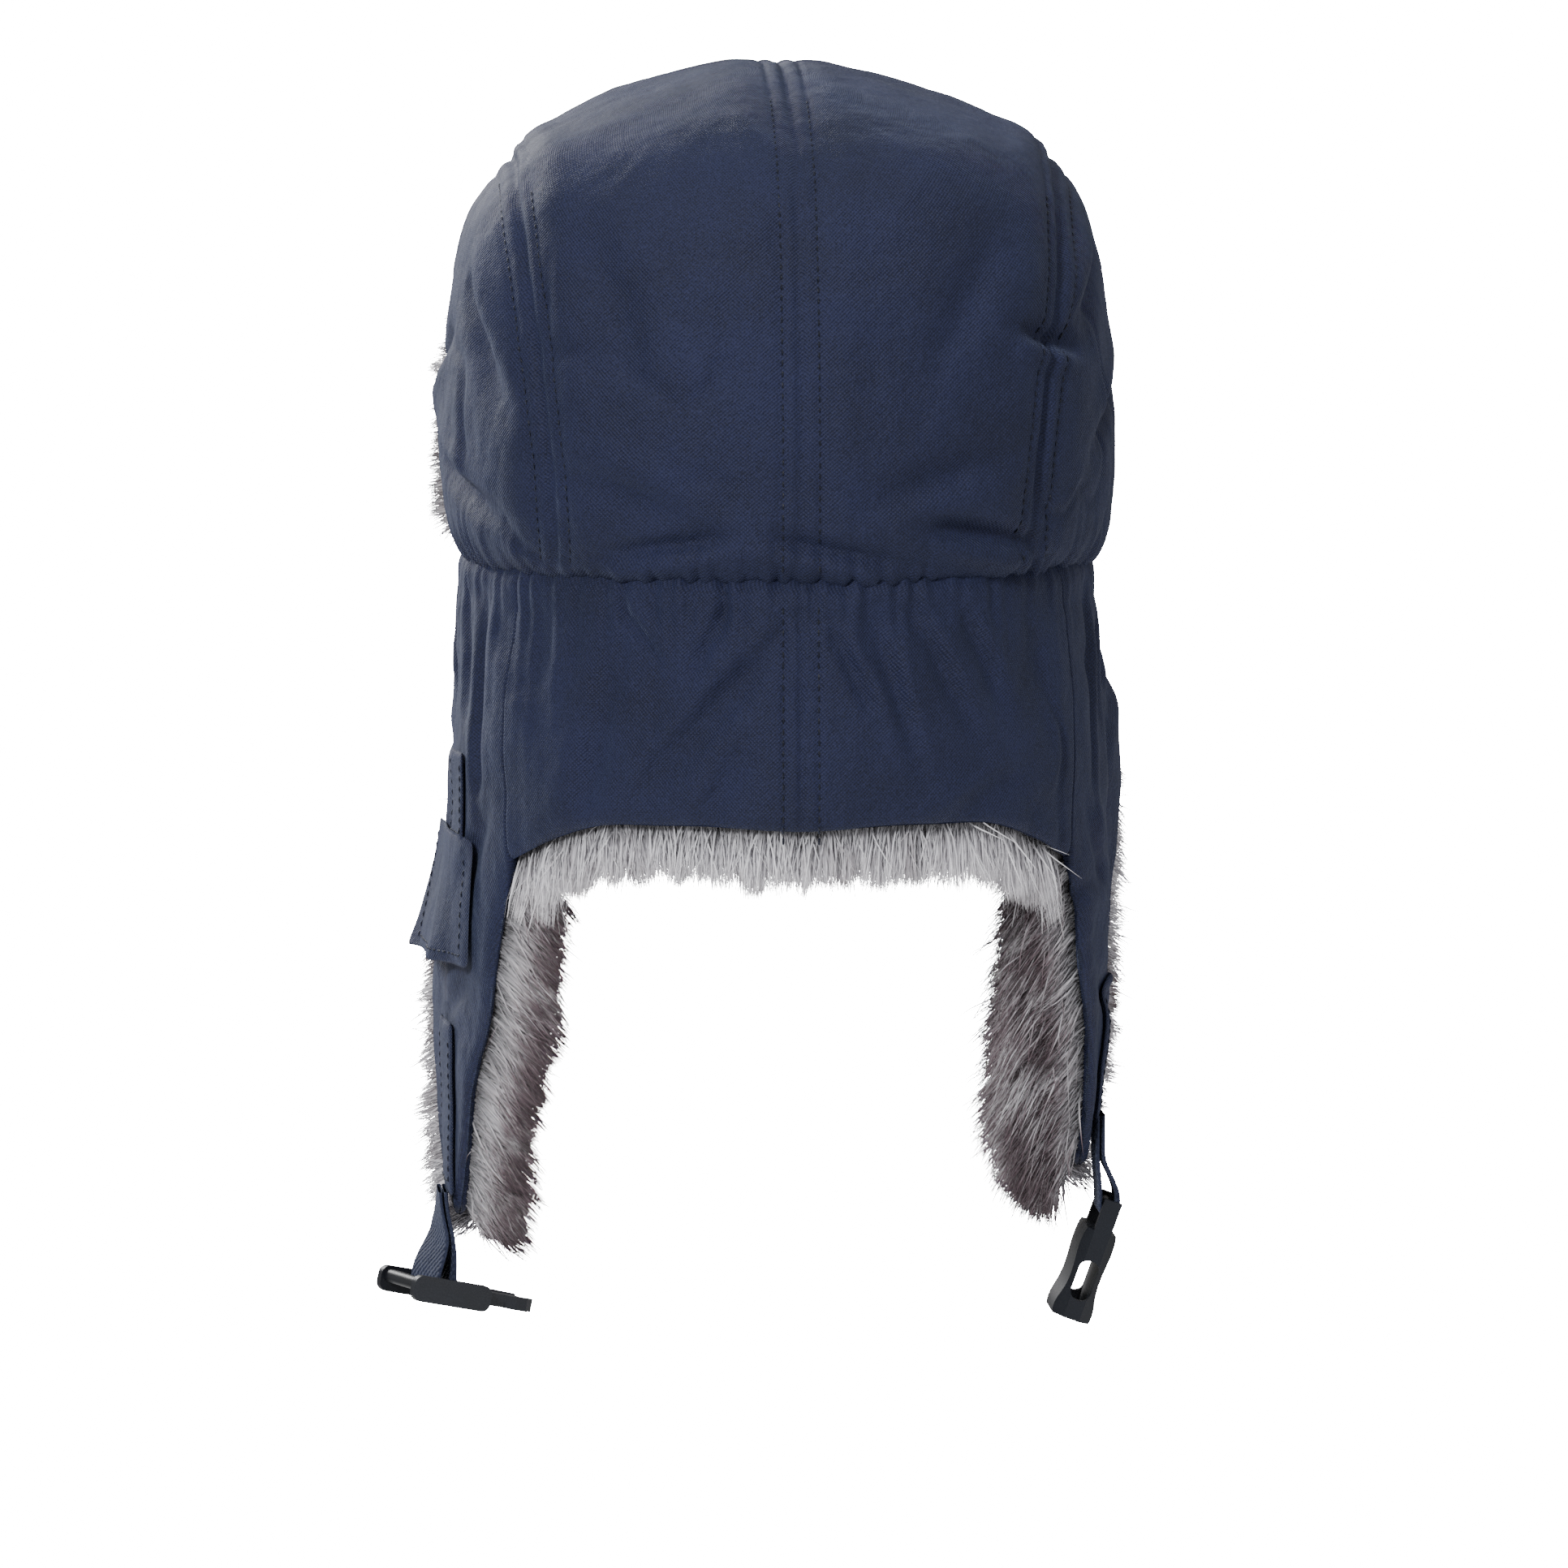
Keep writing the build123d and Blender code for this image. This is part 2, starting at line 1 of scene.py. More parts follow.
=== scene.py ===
import bpy
import math
import numpy as np
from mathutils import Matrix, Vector


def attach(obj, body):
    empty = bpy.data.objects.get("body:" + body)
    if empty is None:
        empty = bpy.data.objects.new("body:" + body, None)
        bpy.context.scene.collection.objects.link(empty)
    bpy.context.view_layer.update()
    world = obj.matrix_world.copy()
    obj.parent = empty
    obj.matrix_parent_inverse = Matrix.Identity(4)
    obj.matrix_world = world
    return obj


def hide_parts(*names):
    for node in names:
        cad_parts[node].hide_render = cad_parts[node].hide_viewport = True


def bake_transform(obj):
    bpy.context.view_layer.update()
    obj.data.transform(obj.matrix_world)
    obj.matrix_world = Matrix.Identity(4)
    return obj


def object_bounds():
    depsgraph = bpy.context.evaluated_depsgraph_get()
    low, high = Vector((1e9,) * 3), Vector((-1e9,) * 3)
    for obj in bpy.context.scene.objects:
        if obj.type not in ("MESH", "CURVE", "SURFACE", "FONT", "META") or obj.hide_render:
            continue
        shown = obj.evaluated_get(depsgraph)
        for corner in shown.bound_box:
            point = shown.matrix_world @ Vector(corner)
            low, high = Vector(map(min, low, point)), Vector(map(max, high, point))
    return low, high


# A trapper hat seen from behind. Shapes are worked out in millimetres and put into the meshes in
# metres. +Z is up, -Y is the face side, +X is the wearer's left.
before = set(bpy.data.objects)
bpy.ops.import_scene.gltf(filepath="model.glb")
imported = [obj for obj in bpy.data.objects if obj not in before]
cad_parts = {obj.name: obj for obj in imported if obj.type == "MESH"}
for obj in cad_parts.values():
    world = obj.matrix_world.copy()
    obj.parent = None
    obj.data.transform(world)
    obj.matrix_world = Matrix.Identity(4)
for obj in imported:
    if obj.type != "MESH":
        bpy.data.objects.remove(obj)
cad_low, cad_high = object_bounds()
MM = 0.001

# ---- sizes, the same as the CAD's ----
CROWN_W = 97.5
CROWN_D = 114.0
CROWN_H = 140.0
EAR_LEN = 193.0
RIGHT_EAR_LEN = 180.0
NECK_LEN = 71.0
FRONT_H = 92.0
SPLIT_Y = 0.5438 * CROWN_D
STRAP_Y = 6.0
LEFT_YAW = math.radians(22.0)
CLOTH_T = 4.4
# Rows and columns of the dense grids.
EAR_GRID = (230, 150)
NECK_GRID = (150, 300)
FRONT_GRID = (90, 220)
PATCH_GRID = (60, 48)
QUILT_GRID = (150, 420)

# Height in mm, half width, half depth and plan power of the crown, from the tucked hem to the top.
CROWN_ROWS = np.array([
    (-3.0, 86.0, 105.0, 2.10),
    (-0.5, 91.0, 110.0, 2.10),
    (5.0, 94.5, 113.0, 2.15),
    (16.0, 97.0, 114.5, 2.20),
    (38.0, 98.0, 114.5, 2.32),
    (62.0, 95.5, 110.5, 2.45),
    (90.0, 90.0, 102.5, 2.65),
    (108.0, 82.0, 93.0, 2.90),
    (118.0, 74.5, 83.5, 2.95),
    (125.5, 62.5, 72.0, 2.80),
    (132.8, 46.5, 56.0, 2.60),
    (138.4, 29.0, 37.0, 2.40),
    (141.3, 11.0, 15.0, 2.20),
    (141.7, 0.2, 0.3, 2.00),
])
# Depth below the seam in mm, half width and half depth of the flaps on the wearer's left and right.
LEFT_ROWS = np.array([
    (-4.0, 86.0, 105.0),
    (0.0, 90.0, 109.0),
    (12.0, 92.0, 111.0),
    (36.0, 94.2, 112.5),
    (92.0, 95.6, 111.0),
    (150.0, 96.2, 107.0),
    (215.0, 96.0, 101.5),
])
RIGHT_ROWS = LEFT_ROWS.copy()
RIGHT_ROWS[-2:, 1] = (93.4, 87.5)
FLAP_POWER = 2.12
# How far each ear flap's front edge flares out.
LEFT_FLARE = 7.0
RIGHT_FLARE = 16.0
# Turned-up front flap, inner face.
FRONT_ROWS = np.array([
    (-4.0, 97.5, 114.0, 2.35),
    (3.0, 99.4, 116.0, 2.35),
    (40.0, 99.4, 116.0, 2.35),
    (62.0, 97.6, 113.0, 2.45),
    (94.0, 92.0, 104.5, 2.60),
    (104.0, 89.0, 101.0, 2.62),
])
# Ear flap edges: height, front edge and back edge of the cloth as shares of length and depth.
EAR_FRONT = np.array([
    (0.000, -0.560), (0.155, -0.545), (0.365, -0.475), (0.570, -0.390), (0.725, -0.305),
    (0.875, -0.220), (0.955, -0.140), (0.990, -0.060), (1.000, 0.015),
])
EAR_BACK = np.array([
    (0.000, 0.5438), (0.440, 0.5438), (0.520, 0.502), (0.650, 0.430), (0.780, 0.295),
    (0.895, 0.215), (0.960, 0.150), (0.990, 0.085), (1.000, 0.020),
])
NECK_EDGE = np.array([
    (0.00, 1.000), (0.40, 0.985), (0.62, 1.010), (0.77, 1.110), (0.86, 1.200),
])


# ---- number helpers ----
def smooth(x, low, high):
    """0 below low, 1 above high and a smooth step between."""
    t = np.clip((x - low) / (high - low), 0.0, 1.0)
    return t * t * (3.0 - 2.0 * t)


def bump(x, at, width):
    """1 where x is at, falling off to both sides like a bell."""
    return np.exp(-(((x - at) / width) ** 2))


def through(x, table, column=1):
    """A smooth curve through table's first column against another, read at x."""
    xs = table[:, 0]
    ys = table[:, column]
    slope = np.gradient(ys, xs)
    i = np.clip(np.searchsorted(xs, x) - 1, 0, len(xs) - 2)
    h = xs[i + 1] - xs[i]
    t = np.clip((x - xs[i]) / h, 0.0, 1.0)
    t2 = t * t
    t3 = t2 * t
    start = (2 * t3 - 3 * t2 + 1) * ys[i] + (t3 - 2 * t2 + t) * h * slope[i]
    end = (3 * t2 - 2 * t3) * ys[i + 1] + (t3 - t2) * h * slope[i + 1]
    return start + end


def columns(x, table, *wanted):
    """Several of a table's columns read at x."""
    return [through(x, table, column) for column in wanted]


def shares(rows, cols, first=0.0):
    """Places down a grid, from 0 to 1, and across it, from first to 1."""
    return np.linspace(0.0, 1.0, rows)[:, None], np.linspace(first, 1.0, cols)[None, :]


def hashed(i, j, k, seed):
    """A repeatable value from 0 to 1 for each whole-number cell."""
    n = (i * 374761393 + j * 668265263 + k * 2147483647 + seed * 1274126177) & 0xFFFFFFFF
    n = ((n ^ (n >> 13)) * 1103515245) & 0xFFFFFFFF
    n = (n ^ (n >> 16)) & 0xFFFFFFFF
    return n / 4294967295.0


def noise(p, size, seed=0):
    """Smooth value noise from -1 to 1 at points p, with features of about the given size."""
    q = np.asarray(p) / size
    cell = np.floor(q).astype(np.int64)
    f = q - cell
    f = f * f * (3.0 - 2.0 * f)
    total = np.zeros(q.shape[:-1])
    for a in (0, 1):
        for b in (0, 1):
            for c in (0, 1):
                weight = np.abs(1 - a - f[..., 0]) * np.abs(1 - b - f[..., 1])
                weight = weight * np.abs(1 - c - f[..., 2])
                spot = hashed(cell[..., 0] + a, cell[..., 1] + b, cell[..., 2] + c, seed)
                total = total + weight * spot
    return 2.0 * total - 1.0


def ring_noise(along, size, seed):
    """Smooth noise along a line."""
    return noise(stack(along, 0.0 * along, 0.0 * along), size, seed)


def ring_point(turn, half_w, half_d, power):
    """A point at a polar angle on a superellipse."""
    c = np.cos(turn)
    s = np.sin(turn)
    r = (np.abs(c / half_w) ** power + np.abs(s / half_d) ** power) ** (-1.0 / power)
    return r * c, r * s


def stack(*columns):
    return np.stack(np.broadcast_arrays(*columns), axis=-1)


def unit(v):
    size = np.linalg.norm(v, axis=-1, keepdims=True)
    return v / np.maximum(size, 1e-9)


def grid_normals(p):
    """Normals of a grid of points, rows by columns."""
    du = np.gradient(p, axis=1)
    dv = np.gradient(p, axis=0)
    return unit(np.cross(du, dv))


# ---- mesh helpers ----
def new_object(name, verts, faces, uv=None, values=None):
    """A mesh object from points in mm and same-sized faces, with UVs and values per point."""
    verts = np.asarray(verts, dtype=np.float64).reshape(-1, 3) * MM
    faces = np.asarray(faces, dtype=np.int32)
    sides = faces.shape[1]
    mesh = bpy.data.meshes.new(name)
    mesh.vertices.add(len(verts))
    mesh.vertices.foreach_set("co", verts.astype(np.float32).ravel())
    mesh.loops.add(faces.size)
    mesh.loops.foreach_set("vertex_index", faces.ravel())
    mesh.polygons.add(len(faces))
    mesh.polygons.foreach_set("loop_start", np.arange(0, faces.size, sides, dtype=np.int32))
    mesh.update(calc_edges=True)
    mesh.polygons.foreach_set("use_smooth", np.ones(len(faces), dtype=bool))
    if uv is not None:
        layer = mesh.uv_layers.new(name="Cloth")
        spread = np.asarray(uv, dtype=np.float32).reshape(-1, 2)[faces.ravel()]
        layer.data.foreach_set("uv", spread.ravel())
    for key, data in (values or {}).items():
        made = mesh.attributes.new(key, "FLOAT", "POINT")
        made.data.foreach_set("value", np.asarray(data, dtype=np.float32).ravel())
    mesh.validate()
    obj = bpy.data.objects.new(name, mesh)
    bpy.context.scene.collection.objects.link(obj)
    return obj


def grid_faces(rows, cols, closed=False):
    """Quads of a grid of points, joined round its columns if closed."""
    r = np.arange(rows - 1)
    c = np.arange(cols if closed else cols - 1)
    rr, cc = np.meshgrid(r, c, indexing="ij")
    nxt = (cc + 1) % cols
    a = rr * cols + cc
    b = rr * cols + nxt
    d = (rr + 1) * cols + cc
    e = (rr + 1) * cols + nxt
    return np.stack([a, b, e, d], axis=-1).reshape(-1, 4)


def padded_sheet(name, outer, inner, uv, values=None):
    """A closed pad from an outer and an inner grid of the same size, joined round the edge."""
    rows, cols = outer.shape[:2]
    count = rows * cols
    faces = [grid_faces(rows, cols), grid_faces(rows, cols)[:, ::-1] + count]
    index = np.arange(count).reshape(rows, cols)
    rim = np.concatenate([index[0, :], index[1:, -1], index[-1, -2::-1], index[-2:0:-1, 0]])
    after = np.roll(rim, -1)
    faces.append(np.stack([after, rim, rim + count, after + count], axis=-1))
    verts = np.concatenate([outer.reshape(-1, 3), inner.reshape(-1, 3)])
    both = np.concatenate([uv.reshape(-1, 2), uv.reshape(-1, 2)])
    return new_object(name, verts, np.concatenate(faces), both, values)


def give(obj, material):
    obj.data.materials.clear()
    obj.data.materials.append(material)
    return obj


def settle(obj, material, body=None, nodes=()):
    """Gives a piece its material and slot, the body it rides on and the CAD nodes it stands for."""
    give(obj, material)
    if body:
        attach(obj, body)
    if nodes:
        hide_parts(*nodes)
    return obj


# ---- materials ----
def shader_tree(name):
    mat = bpy.data.materials.new(name)
    mat.use_nodes = True
    tree = mat.node_tree
    return mat, tree, tree.nodes["Principled BSDF"]


def add_node(tree, kind, **settings):
    node = tree.nodes.new(kind)
    for key, value in settings.items():
        setattr(node, key, value)
    return node


def set_inputs(node, values):
    """Puts constants on a node's sockets by name."""
    for key, value in values.items():
        node.inputs[key].default_value = value


def object_place(tree):
    return add_node(tree, "ShaderNodeTexCoord").outputs["Object"]


def ramp(tree, fac, stops):
    node = add_node(tree, "ShaderNodeValToRGB")
    bar = node.color_ramp
    while len(bar.elements) < len(stops):
        bar.elements.new(0.5)
    for element, (place, colour) in zip(bar.elements, stops):
        element.position = place
        element.color = (*colour, 1.0)
    tree.links.new(fac, node.inputs["Fac"])
    return node.outputs["Color"]


def math_node(tree, operation, a, b=0.0):
    node = add_node(tree, "ShaderNodeMath", operation=operation)
    for socket, value in zip(node.inputs, (a, b)):
        if isinstance(value, (int, float)):
            socket.default_value = value
        else:
            tree.links.new(value, socket)
    return node.outputs[0]


def add_share(tree, base, extra, share):
    """base plus a share of extra."""
    return math_node(tree, "ADD", base, math_node(tree, "MULTIPLY", extra, share))


def mix_colours(tree, factor, a, b):
    """Colour socket a turning into b, a colour or a socket, by factor."""
    node = add_node(tree, "ShaderNodeMix", data_type="RGBA")
    tree.links.new(factor, node.inputs["Factor"])
    tree.links.new(a, node.inputs["A"])
    if isinstance(b, tuple):
        node.inputs["B"].default_value = b
    else:
        tree.links.new(b, node.inputs["B"])
    return node.outputs["Result"]


def noise_node(tree, vector, scale, detail=3.0, rough=0.55):
    node = add_node(tree, "ShaderNodeTexNoise")
    set_inputs(node, {"Scale": scale, "Detail": detail, "Roughness": rough})
    tree.links.new(vector, node.inputs["Vector"])
    return node.outputs["Fac"]


def relief_node(tree, height, strength, distance):
    """Relief from a height."""
    node = add_node(tree, "ShaderNodeBump")
    set_inputs(node, {"Strength": strength, "Distance": distance})
    tree.links.new(height, node.inputs["Height"])
    return node


def weave_height(tree, pitch_mm):
    """Height of a plain weave in the Cloth map, whose units are millimetres."""
    place = add_node(tree, "ShaderNodeUVMap", uv_map="Cloth")
    split = add_node(tree, "ShaderNodeSeparateXYZ")
    tree.links.new(place.outputs["UV"], split.inputs["Vector"])
    turn = math.pi / pitch_mm
    u, v = [
        math_node(tree, "SINE", math_node(tree, "MULTIPLY", split.outputs[axis], turn))
        for axis in ("X", "Y")
    ]
    return math_node(tree, "MULTIPLY", u, v)


def cloth_material(name, dark, light, pitch, relief, rough=0.66):
    """Woven cloth: tone varied over a few centimetres and by thread, with a plain weave in relief."""
    mat, tree, shader = shader_tree(name)
    links = tree.links
    where = object_place(tree)
    weave = weave_height(tree, pitch)
    patchy = noise_node(tree, where, 38.0, 4.0)
    threads = noise_node(tree, where, 1700.0, 2.0)
    blend = add_share(tree, math_node(tree, "MULTIPLY", patchy, 0.32), threads, 0.62)
    blend = add_share(tree, blend, weave, 0.10)
    links.new(ramp(tree, blend, [(0.34, dark), (0.60, light)]), shader.inputs["Base Color"])
    links.new(add_share(tree, rough - 0.08, patchy, 0.16), shader.inputs["Roughness"])
    fine = relief_node(tree, add_share(tree, weave, threads, 1.2), relief, 0.00022)
    soft = relief_node(tree, noise_node(tree, where, 150.0, 4.0), 0.60, 0.0018)
    links.new(fine.outputs["Normal"], soft.inputs["Normal"])
    links.new(soft.outputs["Normal"], shader.inputs["Normal"])
    set_inputs(shader, {
        "Sheen Weight": 0.10,
        "Sheen Roughness": 0.45,
        "Sheen Tint": (0.55, 0.65, 0.95, 1.0),
        "Specular IOR Level": 0.22,
    })
    return mat


def fur_material(name, strand):
    """Long pile: grey at the root, near white along its length and purple-brown at the tips, in patches."""
    mat, tree, shader = shader_tree(name)
    links = tree.links
    where = object_place(tree)
    along = add_node(tree, "ShaderNodeAttribute", attribute_name="along").outputs["Fac"]
    tone = add_node(tree, "ShaderNodeAttribute", attribute_name="tone").outputs["Fac"]
    patch = noise_node(tree, where, 62.0, 4.0, 0.62)
    pale = ramp(tree, along, [
        (0.00, (0.100, 0.100, 0.110)),
        (0.28, (0.330, 0.326, 0.348)),
        (0.60, (0.660, 0.650, 0.685)),
        (1.00, (0.800, 0.785, 0.815)),
    ])
    brown = ramp(tree, along, [
        (0.00, (0.080, 0.080, 0.088)),
        (0.30, (0.300, 0.292, 0.312)),
        (0.55, (0.430, 0.405, 0.430)),
        (0.80, (0.130, 0.092, 0.106)),
        (1.00, (0.055, 0.036, 0.044)),
    ])
    pick = add_share(tree, tone, patch, 1.1)
    choose = ramp(tree, pick, [(0.40, (0.0, 0.0, 0.0)), (0.72, (1.0, 1.0, 1.0))])
    links.new(mix_colours(tree, choose, pale, brown), shader.inputs["Base Color"])
    set_inputs(shader, {"Roughness": 0.58, "Specular IOR Level": 0.32, "Sheen Weight": 0.25})
    if not strand:
        relief = relief_node(tree, noise_node(tree, where, 420.0, 4.0), 0.9, 0.002)
        links.new(relief.outputs["Normal"], shader.inputs["Normal"])
    return mat


def plastic_material(name):
    """Moulded plastic: fine spark-eroded grain, worn a little paler on raised edges."""
    mat, tree, shader = shader_tree(name)
    links = tree.links
    where = object_place(tree)
    broad = noise_node(tree, where, 90.0, 3.0)
    grain = noise_node(tree, where, 2300.0, 2.0)
    edge = add_node(tree, "ShaderNodeNewGeometry").outputs["Pointiness"]
    worn = ramp(tree, edge, [(0.50, (0.0, 0.0, 0.0)), (0.60, (1.0, 1.0, 1.0))])
    body = ramp(tree, broad, [(0.30, (0.0030, 0.0036, 0.0060)), (0.70, (0.0062, 0.0074, 0.0118))])
    wear = math_node(tree, "MULTIPLY", worn, 0.35)
    links.new(mix_colours(tree, wear, body, (0.012, 0.014, 0.020, 1.0)), shader.inputs["Base Color"])
    links.new(add_share(tree, 0.36, grain, 0.18), shader.inputs["Roughness"])
    set_inputs(shader, {"Specular IOR Level": 0.30})
    links.new(relief_node(tree, grain, 0.25, 0.0001).outputs["Normal"], shader.inputs["Normal"])
    return mat


NAVY_DARK = (0.0044, 0.0062, 0.0200)
NAVY_LIGHT = (0.0132, 0.0170, 0.0520)
navy = cloth_material("NavyCloth", NAVY_DARK, NAVY_LIGHT, 0.55, 0.55)
navy_edge = cloth_material("NavyTrim", (0.0048, 0.0068, 0.0220), (0.0135, 0.0178, 0.0540), 0.50, 0.6)
webbing = cloth_material("Webbing", (0.0085, 0.0115, 0.027), (0.0190, 0.0240, 0.054), 1.1, 1.0, 0.7)
lining = cloth_material("QuiltedLining", (0.010, 0.012, 0.022), (0.022, 0.026, 0.046), 0.4, 0.3, 0.42)
label_cloth = cloth_material("BlankLabel", (0.42, 0.42, 0.40), (0.60, 0.60, 0.57), 0.6, 0.6, 0.6)
patch_cloth = cloth_material("HookTape", (0.006, 0.009, 0.020), (0.030, 0.038, 0.070), 0.9, 1.0, 0.85)
# Stitch thread: dark navy thread, coloured darker than the cloth as painted shade of the sunken needle holes
# and their shadow.
thread_with_painted_shade = cloth_material("ThreadWithPaintedShade", (0.0022, 0.0030, 0.0080), (0.0050, 0.0066, 0.0170), 0.3, 0.5, 0.5)
fur_strand = fur_material("FurStrand", True)
fur_base = fur_material("FurBase", False)
plastic = plastic_material("BucklePlastic")


# ---- crown ----
ring_steps = 520
rise_steps = 190
length_row = np.linalg.norm(np.diff(CROWN_ROWS[:, :2], axis=0), axis=1)
crown_length = np.concatenate([[0.0], np.cumsum(length_row)])
crown_table = np.column_stack([crown_length, CROWN_ROWS])


def seam_x(z):
    """Where the side panel's seam runs across the back and front."""
    return 68.0 + 9.5 * smooth(z, 0.0, 112.0)


FOLD_GAIN = 1.45


def fold(u, v, a, b, width, depth):
    """A soft crease along the line from a to b in a flat (u, v) view, fading at both ends."""
    ax, ay = a
    bx, by = b
    dx = bx - ax
    dy = by - ay
    size = dx * dx + dy * dy
    t = ((u - ax) * dx + (v - ay) * dy) / size
    inside = np.clip(t, 0.0, 1.0)
    gap = np.hypot(u - ax - inside * dx, v - ay - inside * dy)
    side = ((u - ax) * dy - (v - ay) * dx) / math.sqrt(size)
    fade = np.sin(np.pi * np.clip(inside, 0.03, 0.97)) ** 0.6
    groove = -bump(gap, 0.0, width)
    roll = 0.55 * bump(side, 1.6 * width, 1.3 * width) * bump(gap, 0.0, 3 * width)
    return FOLD_GAIN * depth * fade * (groove + roll)


def creases(p, seed):
    """Thin random creases, gathered in places."""
    drift = stack(noise(p, 26.0, seed), noise(p, 26.0, seed + 1), noise(p, 26.0, seed + 2))
    line = noise((p + 11.0 * drift) * np.array([1.0, 1.0, 0.75]), 31.0, seed + 3)
    place = smooth(noise(p, 52.0, seed + 4), -0.30, 0.40)
    return place * (-bump(line, 0.0, 0.12) + 0.45 * bump(line, 0.24, 0.16))


# Creases: panel side (+1 back, 0 wearer's left, 2 wearer's right, -1 front), start, end, width, depth.
CROWN_FOLDS = [
    (1, (-84, 62), (-62, 70), 3.0, 1.9),
    (1, (-70, 8), (-36, 15), 3.4, 2.6),
    (1, (-30, 4), (10, 12), 3.0, 1.5),
    (1, (20, 12), (58, 6), 3.2, 1.8),
    (1, (-60, 34), (-20, 22), 5.0, 1.2),
    (1, (64, 30), (30, 16), 5.0, 1.3),
    (1, (-58, 96), (-40, 60), 6.0, 0.9),
    (1, (58, 100), (46, 58), 6.0, 0.9),
    (0, (-70, 70), (-10, 100), 6.0, 2.2),
    (0, (-52, 38), (20, 66), 5.0, 2.2),
    (0, (72, 46), (34, 84), 6.0, 2.0),
    (0, (66, 14), (10, 30), 4.5, 2.2),
    (0, (-60, 10), (-20, 18), 4.0, 2.0),
    (2, (70, 66), (24, 96), 6.0, 2.2),
    (2, (60, 34), (0, 60), 5.0, 2.2),
    (2, (-66, 44), (-30, 78), 6.0, 2.0),
    (2, (-56, 12), (-6, 26), 4.5, 2.2),
    (-1, (-50, 108), (-20, 120), 5.0, 1.2),
]


def crown_relief(p):
    """How far the cloth stands proud of the smooth crown: seams, gathers, puff and creases."""
    x, y, z = np.moveaxis(p, -1, 0)
    low = smooth(z, -1.0, 6.0)
    across = np.abs(x)
    out = -0.9 * bump(across, 0.0, 1.1) * low
    out -= 0.45 * bump(across, 5.2, 0.9) * low
    out += 0.25 * bump(across, 2.9, 1.5) * low
    out += 0.5 * bump(across, 12.0, 5.5) * low
    off = across - seam_x(z)
    under_top = 1.0 - smooth(z, 118.0, 128.0) * (1.0 - smooth(np.abs(y), 40.0, 90.0))
    out -= 1.7 * bump(off, 0.0, 1.2) * low
    out -= 0.55 * bump(np.abs(off), 4.0, 0.9) * low
    out += 0.9 * bump(np.abs(off), 9.5, 4.5) * low * under_top
    turn = np.arctan2(y / CROWN_D, x / CROWN_W)
    strength = 0.55 + 0.45 * ring_noise(turn * 30.0, 9.0, 5)
    gather = np.sin(turn * 83.0 + 3.0 * ring_noise(turn * 60.0, 8.0, 7))
    gather += 0.7 * np.sin(turn * 137.0 + 1.0)
    out += 0.75 * gather * strength * np.exp(-np.clip(z, 0.0, None) / 8.0)
    out += 1.5 * noise(p, 42.0, 11) * smooth(z, 4.0, 30.0)
    out += 0.70 * noise(p * np.array([1.0, 1.0, 0.6]), 17.0, 12)
    out += 0.24 * noise(p, 6.5, 13)
    out += (0.95 - 0.45 * smooth(z, 40.0, 100.0)) * creases(p, 14)
    facing = {
        1: (x, smooth(y, 30.0, 70.0)),
        -1: (x, smooth(-y, 30.0, 70.0)),
        0: (y, smooth(x, 60.0, 78.0)),
        2: (y, smooth(-x, 60.0, 78.0)),
    }
    for side, a, b, width, depth in CROWN_FOLDS:
        u, share = facing[side]
        out += 1.5 * share * fold(u, z, a, b, width, depth)
    return out


def crown_grid(inset=0.0, rows=rise_steps, cols=ring_steps):
    """Points of the smooth crown moved in by inset, rows from the hem to the top."""
    q = np.linspace(0.0, crown_length[-1], rows)[:, None]
    turn = np.linspace(-0.5 * math.pi, 1.5 * math.pi, cols, endpoint=False)[None, :]
    z, half_w, half_d, power = columns(q, crown_table, 1, 2, 3, 4)
    shrink = inset * np.minimum(1.0, half_w / 60.0)
    x, y = ring_point(turn, np.maximum(half_w - shrink, 0.1), np.maximum(half_d - shrink, 0.1), power)
    lowered = z * (CROWN_H - inset) / CROWN_H
    return stack(x, y, lowered), q, turn


base, q, turn = crown_grid()
facing_out = grid_normals(np.concatenate([base[:, -1:], base, base[:, :1]], axis=1))[:, 1:-1]
middle = np.array([0.0, 0.0, 40.0])
flip = np.sign(np.sum(facing_out * (base - middle), axis=-1, keepdims=True))
facing_out = facing_out * np.where(flip == 0, 1.0, flip)
crown_points = base + facing_out * crown_relief(base)[..., None]
crown_points[-1] = crown_points[-2].mean(axis=0)
crown_uv = stack(turn * 100.0, q)
crown = new_object("DomeShell", crown_points, grid_faces(rise_steps, ring_steps, True), uv=crown_uv)
settle(crown, navy, "crown", [
    "crown_panel_left", "crown_panel_right", "crown_side_left", "crown_side_right", "crown_wadding",
])


# ---- neck and ear flaps ----
# Creases across the back: (x, height) of both ends, width and depth.
FLAP_FOLDS = [
    ((44, -60), (8, -18), 4.2, 3.2),
    ((30, -74), (16, -46), 4.0, 1.5),
    ((62, -74), (52, -20), 4.0, 1.8),
    ((-8, -12), (-22, -40), 2.6, 1.7),
    ((-20, -8), (-34, -52), 2.8, 2.0),
    ((-32, -8), (-52, -48), 2.8, 2.2),
    ((-46, -8), (-60, -38), 2.6, 2.0),
    ((-40, -72), (-66, -56), 4.0, 1.4),
    ((20, -6), (30, -26), 2.4, 1.4),
    ((50, -8), (40, -24), 2.4, 1.4),
    ((-66, -10), (-74, -50), 3.4, 1.1),
    ((70, -8), (74, -46), 3.4, 1.1),
]
# The same down the sides, with (y, height) ends.
EAR_FOLDS = [
    ((40, -8), (44, -70), 3.0, 2.4),
    ((20, -8), (30, -44), 3.0, 1.6),
    ((-8, -8), (-2, -50), 3.0, 1.5),
    ((-36, -8), (-28, -44), 3.0, 1.8),
    ((-50, -34), (-20, -60), 4.0, 1.4),
    ((34, -120), (4, -134), 4.0, 1.4),
    ((-26, -110), (6, -128), 4.0, 1.3),
    ((52, -70), (30, -96), 4.0, 1.5),
]


